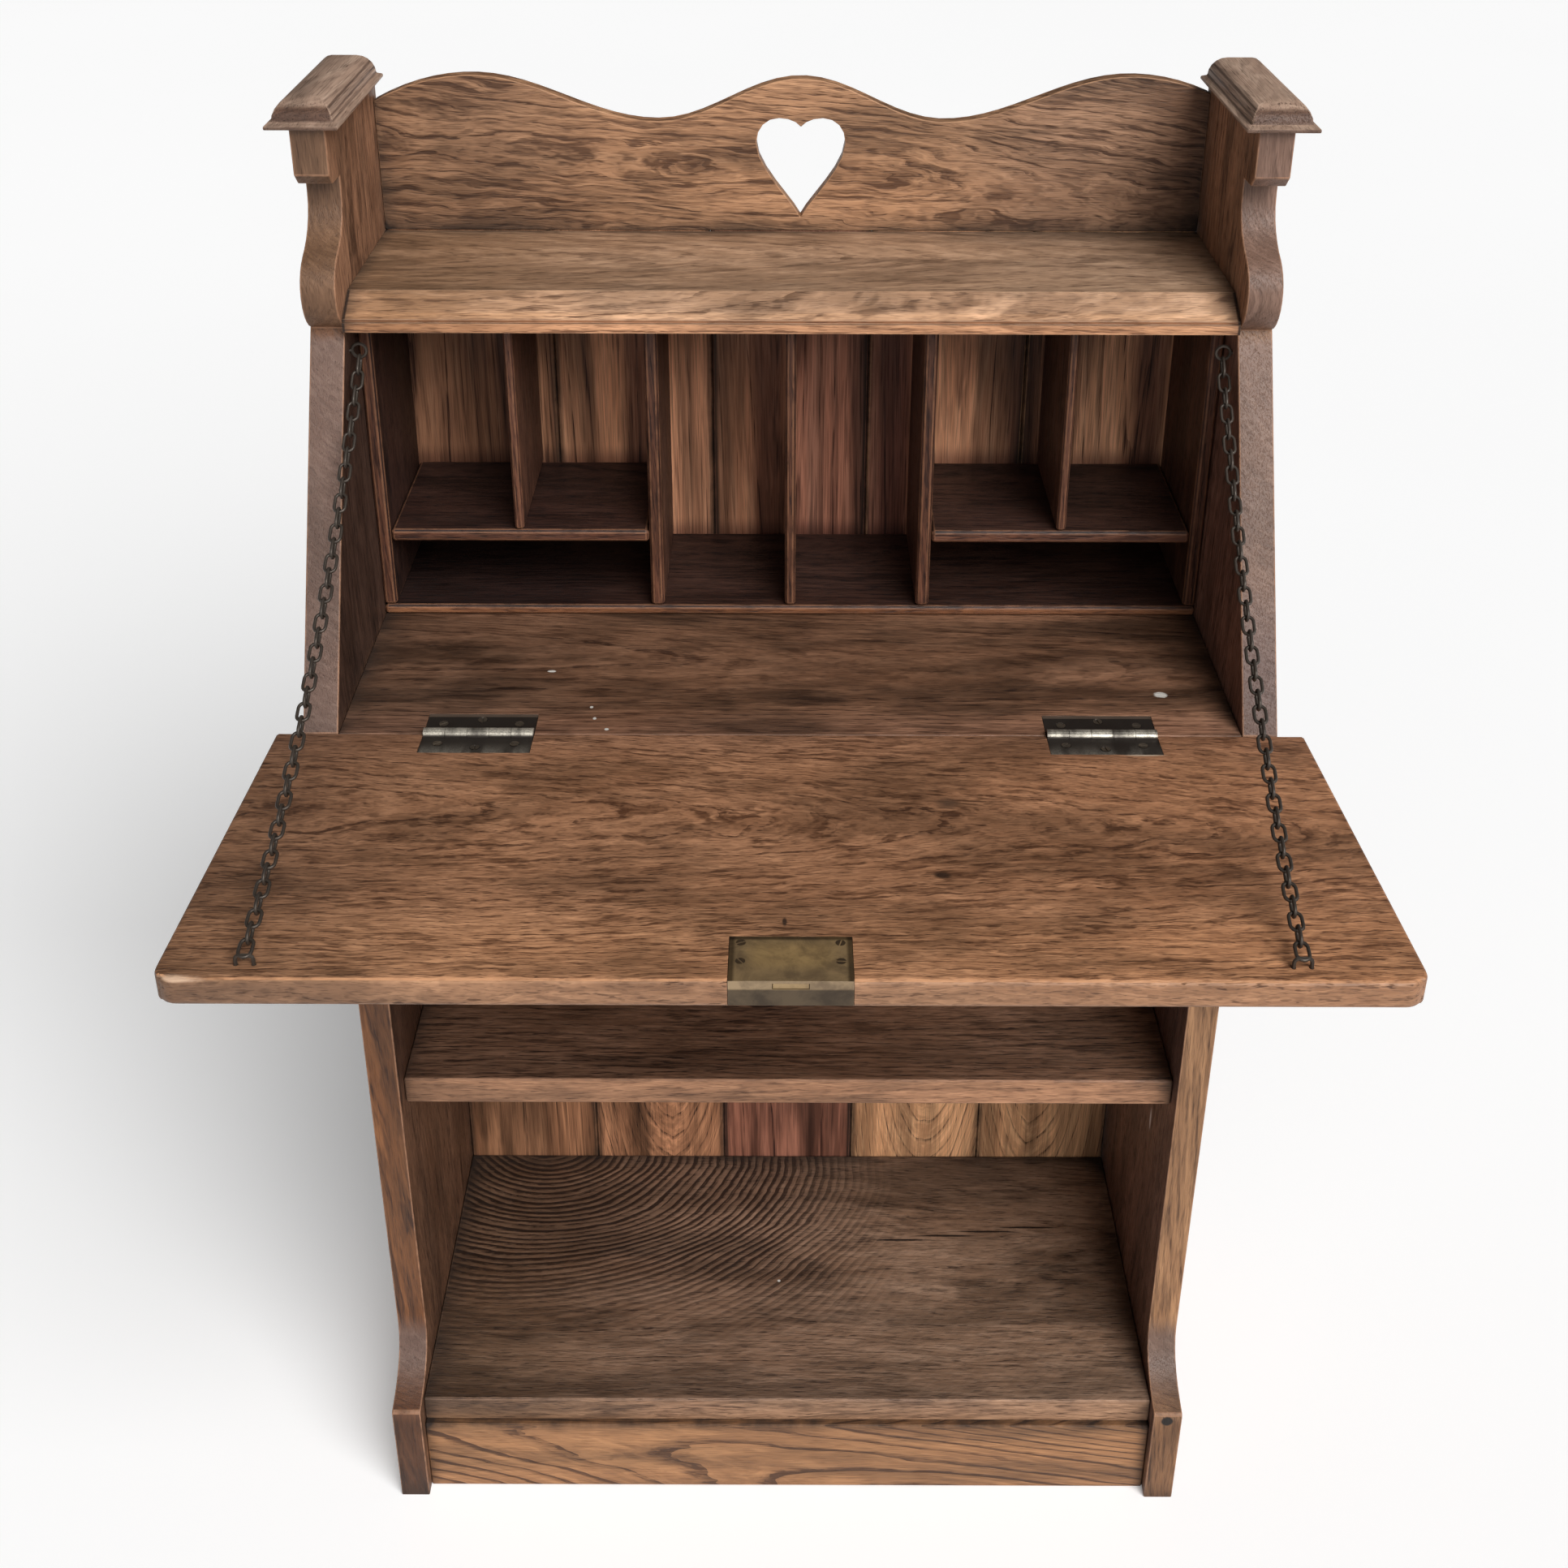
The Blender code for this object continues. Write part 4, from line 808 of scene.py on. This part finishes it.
class BUREAU_OT_boards(bpy.types.Operator):
    """Writing bed, lower shelf, base, plinth and back boards"""

    bl_idname = "bureau.boards"
    bl_label = "Boards"

    def execute(self, context):
        ends = {"low_grime": (0.9, 0, 0), "high_grime": (0.9, 0.9, 0)}
        speck = (0.60, 0.57, 0.52)
        bed_top, base_top = 0.779, 0.103
        flecks = [((x, y, bed_top), (long, wide, 0.002), speck, 0.2, 0.6) for x, y, long, wide in (
            (0.2617, 0.0392, 0.0045, 0.0035), (-0.1718, 0.0686, 0.0030, 0.0014),
            (-0.1385, 0.0209, 0.0012, 0.0014), (-0.1350, 0.0065, 0.0012, 0.0016),
            (-0.1255, -0.0070, 0.0014, 0.0014))]
        oak_board(
            "writing_bed", 0.0008, "bed_oak", "X", "face", (0.49, 0.495, 0.53),
            dict(seed=7.0, pith=(-0.05, -0.07), lean=(0.05, 0.03), figure=0.6, streaks=0.6, mottle=0.8),
            shades=((before("X", -0.17, 0.10), (0.90, 0.94, 1.00)),
                    (beyond("X", 0.15, 0.10), (1.32, 1.34, 1.37)),
                    (before("Y", HINGE_LINE.y + 0.022, 0.022), (1.28, 1.28, 1.36))),
            grime_reach=0.03, spots=flecks, **ends)
        oak_board(
            "lower_shelf", 0.0020, "lower_shelf_oak", "X", "dust", (0.86, 0.78, 0.73),
            dict(seed=8.0, pith=(0.03, -0.08), lean=(0.03, 0.03)),
            layers=((FRONT, "face", (0.96, 0.98, 1.00), dict(streaks=0.5)),), grime_reach=0.03, **ends)
        cracks = [((0.1060 + 0.040 * i, 0.1700 + 0.0050 * i, base_top), (0.026, 0.0011, 0.004),
                   (0.010, 0.006, 0.005), 0.4, 0.5) for i in range(4)]
        fleck = ((-0.0074, 0.1233, base_top), (0.0014, 0.0012, 0.002), speck, 0.3, 0.5)
        plain = dict(pith=(0.03, -0.08), lean=(0.03, 0.03), pitch=1.0, line=0.35, figure=0.15, streaks=0.5)
        oak_board(
            "base_board", 0.0025, "base_oak", "X", "dust", (1.05, 1.05, 1.05),
            dict(seed=9.0, pith=(0.15, -0.16), lean=(0.0, 0.75), waviness=0.03, pitch=1.35, line=0.75,
                 figure=3.2, streaks=0.2),
            layers=((before("Y", 0.10, 0.06), "dust", (1.06, 1.08, 1.08), {**plain, "mottle": 0.6}),
                    (beyond("X", 0.05, 0.08), "dust", (1.02, 1.06, 1.06), {**plain, "mottle": 0.55}),
                    (FRONT, "face", (0.84, 0.95, 1.04), {**plain, "figure": 0.3, "streaks": 0.6})),
            shades=((before("X", -0.18, 0.10), (0.64, 0.61, 0.56)),), spots=(*cracks, fleck),
            grime_reach=0.035, **ends)
        oak_board(
            "plinth_board", 0.0015, "plinth_oak", "X", "face", (0.84, 0.82, 0.68),
            dict(seed=10.0, pith=(0.05, -0.02), lean=(0.05, 0.22), waviness=0.04, pitch=1.5, line=0.34,
                 figure=2.2, streaks=0.35, stretch=2.0),
            grime_reach=0.014, low_grime=(0.8, 0, 0.3), high_grime=(0.8, 0, 0.9))
        self.back_boards()
        return {"FINISHED"}

    def back_boards(self):
        """Five planks, lighter behind the pigeonholes in paler wood and painted light, with dark seams
        between them.
        """
        behind = both(FRONT, beyond("Z", 0.75, 0.02))
        bay_shades = self.bay_shades(behind)
        arched = dict(figure=0.7, line=0.22, pitch=1.3, waviness=0.03)
        finishes = (
            ("back", (0.90, 0.90, 0.86), 0.38, {}),
            ("back", (0.92, 0.90, 0.86), 0.38, dict(arched, pith=(0.01, -0.052), lean=(0.02, 0.22))),
            ("back", (0.74, 0.63, 0.74), 0.38, {}),
            # The two right-hand boards are lighter below too: paler wood and painted light against the shadow
            # of the fall
            ("bare", (1.04, 1.08, 1.06), 0.16, dict(arched, pith=(0.03, -0.056), lean=(-0.05, 0.22))),
            ("bare", (1.00, 1.04, 1.02), 0.16, dict(arched, pith=(-0.02, -0.045), lean=(0.03, 0.20))))
        for i, (tones, tint, streaks, figure) in enumerate(finishes, 1):
            node = f"back_board_{i}"
            seam = (0.2,) * 3 if i == 3 else (0.7,) * 3
            seams = [(between("X", end.x - 0.0036, end.x + 0.0036, 0.0012), seam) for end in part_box(node)]
            straight = dict(seed=10.0 + i, pith=(0.02 * (i - 3), 0.07), lean=(0.02, 0.01), figure=0.5,
                            line=0.2, pitch=1.2, stretch=4.0, waviness=0.02)
            oak_board(node, 0.0012, f"{node}_oak", "Z", tones, tint,
                      {**straight, "streaks": streaks, "mottle": 0.5 + 1.5 * streaks, **figure},
                      layers=((behind, "bare", WHITE, {**straight, "streaks": 0.5, "mottle": 0.9}),),
                      shades=(*seams, *bay_shades),
                      low_grime=(1.0, 0, 0), high_grime=(1.0, 0, 0), grime_reach=0.009)

    @staticmethod
    def bay_shades(behind):
        """One tone behind each pigeonhole, with painted shadow beside the walls and painted shade just above
        the shelves.
        """
        walls = sorted((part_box(node) for node in frame["nodes"] if node.startswith("pigeonhole")
                        and "base" not in node and "shelf" not in node), key=lambda box: box[0].x)
        tones = ((0.50, 0.46, 0.48), (1.05, 0.98, 1.02), (0.93, 0.86, 0.92),
                 (0.72, 0.61, 0.74), (0.97, 0.93, 1.00), (0.86, 0.84, 0.90))
        shades = []
        for left, right, tone in zip(walls, walls[1:], tones):
            tier = "base" if left[0].x > walls[1][1].x and right[1].x < walls[-2][0].x else "shelf_left"
            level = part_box(f"pigeonhole_{tier}")[1].z
            bay = both(behind, between("X", left[0].x, right[0].x, 0.002))
            # painted shadow that each wall casts on the back to its left, and painted shade just above the
            # floor of each bay
            beside = both(behind, between("X", right[0].x - 0.026, right[0].x, 0.008))
            above = both(bay, between("Z", level - 0.02, level + 0.008, 0.008))
            shades += [(bay, tone), (beside, (0.36, 0.32, 0.34)), (above, (0.50, 0.46, 0.48))]
        return shades


class BUREAU_OT_pigeonholes(bpy.types.Operator):
    """Thin stained boards of the pigeonholes, with painted shade on their tops and sides"""

    bl_idname = "bureau.pigeonholes"
    bl_label = "Pigeonholes"

    def execute(self, context):
        nodes = [node for node in frame["nodes"] if node.startswith("pigeonhole")]
        for i, node in enumerate(sorted(nodes)):
            along = "X" if "base" in node or "shelf" in node else "Z"
            left_top, edge = (0.90, 0.90, 0.94), (0.62, 0.56, 0.62)
            if "base" in node:
                left_top, edge = (0.48, 0.48, 0.54), (1.15, 1.05, 0.90)
            oak_board(
                node, 0.0012, f"{node}_oak", along, "stain", WHITE,
                dict(seed=20.0 + i, pith=(0.04, -0.05), lean=(0.03, 0.03)),
                # painted shade on the tops and the side faces, deepest on the inner face of the left end
                shades=((TOP, (0.24, 0.24, 0.32)), (FRONT, edge), (facing("X", 0), (0.62, 0.60, 0.68)),
                        (both(facing("X", 1), before("X", -0.27, 0.01)), (0.43, 0.43, 0.50)),
                        (both(TOP, before("X", -0.13, 0.04)), left_top)))
        return {"FINISHED"}


class BUREAU_OT_fall(bpy.types.Operator):
    """The fall, with its front arris rubbed pale and lit by a painted highlight"""

    bl_idname = "bureau.fall"
    bl_label = "Fall"

    def execute(self, context):
        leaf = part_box("hinge_right_fall_leaf")
        beside_leaf = (leaf[1].x - 0.0130, leaf[0].y - 0.0008, leaf[1].z)
        chip = (beside_leaf, (0.0135, 0.0011, 0.0060), (0.560, 0.420, 0.300), 0.4, 0.5)
        knot = ((0.0904, -0.1820, 0.7900), (0.0050, 0.0035, 0.01), (0.040, 0.020, 0.012), 0.5, 0.7)
        smudge = ((0.1000, -0.1010, 0.7850), (0.0060, 0.0050, 0.01), (0.110, 0.058, 0.034), 0.8, 0.6)
        dent = ((-0.0035, -0.2295, 0.7940), (0.0013, 0.004, 0.01), (0.050, 0.026, 0.016), 0.4, 0.4)
        scrape = ((-0.3380, -0.2844, 0.7970), (0.014, 0.004, 0.0014), (0.600, 0.400, 0.270), 0.5, 0.5)
        board = oak_board(
            "fall_board", 0.0026, "fall_oak", "X", "face", (1.05, 1.05, 1.05),
            dict(seed=31.0, pith=(0.02, -0.085), lean=(0.04, 0.07), waviness=0.025, pitch=1.2, line=0.28,
                 figure=0.6, streaks=0.75, stretch=0.6, ripple=0.24), corners=0.013,
            layers=((FRONT, "face", (0.80, 0.84, 0.86), dict(streaks=0.35, figure=0.2, mottle=0.3)),),
            shades=((before("X", -0.24, 0.08), (0.69, 0.71, 0.74)),
                    (beyond("X", 0.16, 0.10), (1.13, 1.10, 1.07)),
                    (beyond("Y", HINGE_LINE.y - 0.025, 0.025), (0.80, 0.80, 0.84)),
                    (both(TOP, before("Y", -0.225, 0.03)), (1.30, 1.32, 1.29))),
            edge_wear=0.9, wear_tint=(1.20, 1.20, 1.15), spots=(knot, smudge, dent, scrape, chip))
        # Only arris faces that look up and forward keep the pale mark: rubbed wear with a painted highlight
        steep, level, ahead = 0.75, 0.95, -0.3
        for face, worn in zip(board.data.polygons, board.data.attributes["arris"].data):
            worn.value = float(steep < face.normal.z < level and face.normal.y < ahead)
        return {"FINISHED"}


class BUREAU_OT_hinges(bpy.types.Operator):
    """Butt hinges with rubbed knuckles and slotted screws"""

    bl_idname = "bureau.hinges"
    bl_label = "Hinges"

    def execute(self, context):
        def knuckles(graph, coords):
            height = graph.parts(coords["Object"])["Z"]
            patches = graph.drawn_noise(coords["Object"], (90.0, 20.0, 20.0), 2.0, 0.6)["Fac"]
            return graph.times(graph.span(height, HINGE_LINE.z + 0.0006, HINGE_LINE.z + 0.0030),
                               graph.span(patches, 0.34, 0.60, 0.15, 1.0))

        # painted highlight along the rear rim of the bed leaf
        rim = between("Y", HINGE_LINE.y + 0.0215, HINGE_LINE.y + 0.0300, 0.0008)
        bronze = metal_material("hinge_bronze", "bronze", "bronze_bright", "bronze", 0.5, rub=knuckles,
                                metallic=0.6, shades=((rim, (4.2, 3.8, 3.4)),))
        for node in frame["nodes"]:
            if node.startswith("hinge") and "screw" not in node:
                paint(node, bronze)
        screws = metal_material("screw_bronze", "iron_bright", "bronze_bright", "bronze", 0.6)
        rise = context.scene.bureau_chain.fall_rise
        for half, body, tilt in (("bed", "carcass", 0.0), ("fall", "fall", rise)):
            names = [node for node in sorted(frame["nodes"])
                     if node.startswith("hinge") and f"{half}_screw" in node]
            shape = bmesh.new()
            up = Matrix.Rotation(-tilt, 3, "X") @ UP
            for i, node in enumerate(names):
                low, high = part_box(node)
                middle = (low + high) / 2
                head = Vector((middle.x, middle.y, high.z))
                slotted_head(shape, head + up * 0.0001, up, 0.6 + 1.1 * i, 0.0032, 0.002)
            heads = add_piece(f"hinge_{half}_screw_heads", shape, body, screws)
            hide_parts(*names)
        return {"FINISHED"}


class BUREAU_OT_lock(bpy.types.Operator):
    """Lock plate with its screws, the strike and the keyhole plate"""

    bl_idname = "bureau.lock"
    bl_label = "Lock"

    def execute(self, context):
        low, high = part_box("lock_plate")

        def front_arris(graph, coords):
            y = graph.parts(coords["Object"])["Y"]
            return graph.times(arris_mark(graph), graph.span(y, low.y + 0.0060, low.y + 0.0020))

        # painted shadow of the recess along the plate's left, right and back edges
        dim = (0.32, 0.30, 0.28)
        band = high.z - 0.0055
        centre = both(between("X", -0.023, 0.023, 0.007), between("Y", low.y + 0.014, high.y - 0.006, 0.006))
        shades = ((both(FRONT, before("Z", band, 0.0008)), (0.27, 0.27, 0.30)),
                  (both(FRONT, beyond("Z", band, 0.0008)), (0.98, 1.02, 1.19)),
                  (both(TOP, centre), (1.32, 1.29, 1.13)),
                  (both(TOP, before("X", low.x + 0.0030, 0.0012)), dim),
                  (both(TOP, beyond("X", high.x - 0.0030, 0.0012)), dim),
                  (both(TOP, beyond("Y", high.y - 0.0032, 0.0012)), dim))
        old_brass = ("brass", "brass_bright", "brass_tarnish")
        brass = metal_material("lock_brass", *old_brass, 0.75, 45.0, front_arris, 0.35, shades)
        soften("lock_plate", 0.0006, brass, 2)
        plain = metal_material("fitting_brass", *old_brass, 0.8, 70.0, metallic=0.35)
        for node in ("lock_bolt", "lock_strike", "keyhole_escutcheon"):
            paint(node, plain)
        screws = metal_material("lock_screw_brass", "brass_tarnish", "brass_bright", "bronze", 0.5, 200.0,
                                metallic=0.6)
        iron = metal_material("lock_iron", "iron", "iron_bright", "iron", 0.6)
        for node in ("lock_case", "lock_spring"):
            paint(node, iron)
        tilt = Matrix.Rotation(-context.scene.bureau_chain.fall_rise, 3, "X")
        shape = bmesh.new()
        back, side = 0.2715 - 0.041, 0.028
        places = [(x, back + row) for row in (0.006, 0.023) for x in (-side, side)]
        for i, (x, y) in enumerate(places):
            head = HINGE_LINE + tilt @ Vector((x, -y, 0.0002))
            slotted_head(shape, head, tilt @ UP, 0.4 + 0.9 * i, 0.0028, 0.0012)
        add_piece("lock_screw_heads", shape, "fall", screws)
        return {"FINISHED"}


class BUREAU_OT_chains(bpy.types.Operator):
    """The two chains, link by link, with their eyes and staples"""

    bl_idname = "bureau.chains"
    bl_label = "Chains"

    def execute(self, context):
        chain = context.scene.bureau_chain
        iron = metal_material("chain_iron", "iron", "iron_bright", "bronze", 0.5, 220.0, metallic=0.5)
        fitting = metal_material("fitting_bronze", "iron", "bronze_bright", "bronze", 0.5, 120.0,
                                 metallic=0.5)
        tilt = Matrix.Rotation(-chain.fall_rise, 3, "X")
        for word in ("left", "right"):
            eye = Vector(JOINTS[f"chain_{word}_eye_turn"]["pos_m"])
            low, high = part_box(f"chain_{word}_staple")
            middle = (low.x + high.x) / 2
            staple = HINGE_LINE + tilt @ Vector((middle, -chain.staple_along, chain.staple_rise))
            first = 0
            for run, count, body in (("upper", chain.upper_links, f"chain_{word}_upper_run"),
                                     ("bight", chain.bight_links, f"chain_{word}_bight_run"),
                                     ("lower", chain.lower_links, "fall")):
                shape = bmesh.new()
                for i in range(first, first + count):
                    self.link(shape, chain, eye, staple, i)
                first += count
                links = add_piece(f"chain_{word}_{run}_links", shape, body, iron, 60.0)
                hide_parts(f"chain_{word}_{run}")
            for node in (f"chain_{word}_eye", f"chain_{word}_staple"):
                paint(node, fitting)
        return {"FINISHED"}

    @staticmethod
    def point(chain, eye, staple, share):
        """A place on the chain's sagging curve."""
        place = eye.lerp(staple, share)
        place.z -= 4 * chain.sag * share * (1 - share)
        return place

    def link(self, shape, chain, eye, staple, place):
        """One oval link, every other one turned a quarter round the chain."""
        total = chain.upper_links + chain.bight_links + chain.lower_links
        ends = [self.point(chain, eye, staple, (place + k) / total) for k in (0, 1)]
        middle = (ends[0] + ends[1]) / 2
        forward = (ends[1] - ends[0]).normalized()
        side = Vector((1.0, 0.0, 0.0))
        side = (side - forward * side.dot(forward)).normalized()
        turn = math.radians(90.0 if place % 2 else 0.0)
        across = math.cos(turn) * forward.cross(side) + math.sin(turn) * side
        bend = chain.link_width / 2 - chain.wire
        reach = (ends[1] - ends[0]).length / 2 + chain.wire * 1.02
        points = []
        for sign, start in ((1, -90), (-1, 90)):
            for i in range(9):
                around = math.radians(start + 180 * i / 8)
                along = sign * (reach - bend) + bend * math.cos(around)
                points.append(middle + forward * along + across * (bend * math.sin(around)))
        tube_ring(shape, points, chain.wire, forward.cross(across).normalized(), 8)


class BUREAU_OT_stage(bpy.types.Operator):
    """Floor, lamps, sky and camera"""

    bl_idname = "bureau.stage"
    bl_label = "Stage"

    def execute(self, context):
        stage = context.scene.bureau_stage
        self.floor(stage)
        self.sky(context, stage)
        self.lamp("key_sun", stage.key_turn, stage.key_height, stage.key_spread, stage.key)
        self.lamp("fill_sun", stage.fill_turn, stage.fill_height, stage.fill_spread, stage.fill)
        self.camera(context)
        context.scene.view_settings.view_transform = "Standard"
        return {"FINISHED"}

    @staticmethod
    def floor(stage):
        """A wide pale floor that keeps the shadow; what is seen of it is lifted to white."""
        mesh = bpy.data.meshes.new("floor")
        reach = 40.0
        corners = [(-reach, -reach, 0), (reach, -reach, 0), (reach, reach, 0), (-reach, reach, 0)]
        mesh.from_pydata(corners, [], [(0, 1, 2, 3)])
        material, graph, shader, coords = start_material("floor_paper")
        cloud = graph.span(graph.noise(coords["Object"], 2.0, 0.5, 0.6)["Fac"], 0.3, 0.7, 0.0, 0.2)
        graph.feed(shader.inputs["Base Color"], graph.mix(cloud, tuple(stage.floor), WHITE))
        shader.inputs["Roughness"].default_value = 0.95
        shader.inputs["Specular IOR Level"].default_value = 0.05
        rays = graph.node("ShaderNodeLightPath").outputs
        mirrored = graph.math("MAXIMUM", rays["Is Glossy Ray"], rays["Is Transmission Ray"])
        seen = graph.math("MAXIMUM", rays["Is Camera Ray"], mirrored)
        shader.inputs["Emission Color"].default_value = (*WHITE, 1.0)
        graph.feed(shader.inputs["Emission Strength"], graph.times(seen, stage.floor_glow))
        mesh.materials.append(material)
        add_object("floor", mesh)

    @staticmethod
    def sky(context, stage):
        """Weak light from all round, seen as white."""
        world = bpy.data.worlds.new("studio_sky")
        world.use_nodes = True
        graph = Graph(world.node_tree)
        sky = world.node_tree.nodes["Background"]
        rays = graph.node("ShaderNodeLightPath").outputs
        seen = graph.math("MAXIMUM", rays["Is Camera Ray"], rays["Is Transmission Ray"])
        graph.feed(sky.inputs["Strength"], graph.times_plus(seen, 1.0 - stage.sky, stage.sky))
        sky.inputs["Color"].default_value = (*WHITE, 1.0)
        context.scene.world = world

    @staticmethod
    def lamp(name, turn, height, spread, strength):
        """A broad distant light that looks at the bureau from the front."""
        light = bpy.data.lights.new(name, "SUN")
        light.energy = strength
        light.angle = spread
        flat = math.cos(height)
        away = Vector((math.sin(turn) * flat, -math.cos(turn) * flat, math.sin(height)))
        look = away.to_track_quat("Z", "Y").to_matrix().to_4x4()
        add_object(name, light).matrix_world = Matrix.Translation(away * 4.0) @ look

    @staticmethod
    def camera(context):
        """The photograph's camera: above the fall, looking down, with its frame slid down."""
        view = bpy.data.cameras.new("photo_camera")
        view.sensor_fit = "HORIZONTAL"
        view.sensor_width = 36.0
        view.lens = 42.42
        view.shift_y = -0.1894
        view.clip_start = 0.05
        view.clip_end = 100.0
        pitch, yaw, roll = math.radians(25.64), math.radians(-0.04), math.radians(0.15)
        ahead = Vector((math.sin(yaw) * math.cos(pitch), math.cos(yaw) * math.cos(pitch), -math.sin(pitch)))
        level = Vector((math.cos(yaw), -math.sin(yaw), 0.0))
        above = level.cross(ahead)
        right = math.cos(roll) * level + math.sin(roll) * above
        up = math.cos(roll) * above - math.sin(roll) * level
        turn = Matrix((right, up, -ahead)).transposed().to_4x4()
        place = Vector((-0.0039, -1.0610, 1.4756)) + Vector((0.0, HINGE_LINE.y, 0.0))
        camera = add_object("photo_camera", view)
        camera.matrix_world = Matrix.Translation(place) @ turn
        context.scene.camera = camera


class BUREAU_PT_panel(bpy.types.Panel):
    """Lists the bureau's pieces"""

    bl_idname = "BUREAU_PT_panel"
    bl_label = "Writing Bureau"
    bl_space_type = "VIEW_3D"
    bl_region_type = "UI"
    bl_category = "Bureau"

    def draw(self, context):
        for operator in OPERATORS:
            self.layout.operator(operator.bl_idname)
        for name in GROUPS:
            settings = getattr(context.scene, name)
            box = self.layout.box()
            for key in settings.__annotations__:
                box.prop(settings, key)


GROUPS = {"bureau_oak": OakSettings, "bureau_metal": MetalSettings, "bureau_chain": ChainSettings,
          "bureau_stage": StageSettings}
OPERATORS = (BUREAU_OT_sides, BUREAU_OT_top, BUREAU_OT_boards, BUREAU_OT_pigeonholes, BUREAU_OT_fall,
             BUREAU_OT_hinges, BUREAU_OT_lock, BUREAU_OT_chains, BUREAU_OT_stage)


def register():
    for name, settings in GROUPS.items():
        bpy.utils.register_class(settings)
        setattr(bpy.types.Scene, name, PointerProperty(type=settings))
    for operator in OPERATORS:
        bpy.utils.register_class(operator)
    bpy.utils.register_class(BUREAU_PT_panel)


def unregister():
    bpy.utils.unregister_class(BUREAU_PT_panel)
    for operator in reversed(OPERATORS):
        bpy.utils.unregister_class(operator)
    for name, settings in reversed(list(GROUPS.items())):
        delattr(bpy.types.Scene, name)
        bpy.utils.unregister_class(settings)


def main():
    register()
    for operator in OPERATORS:
        group, name = operator.bl_idname.split(".")
        getattr(getattr(bpy.ops, group), name)()


if __name__ == "__main__":
    main()
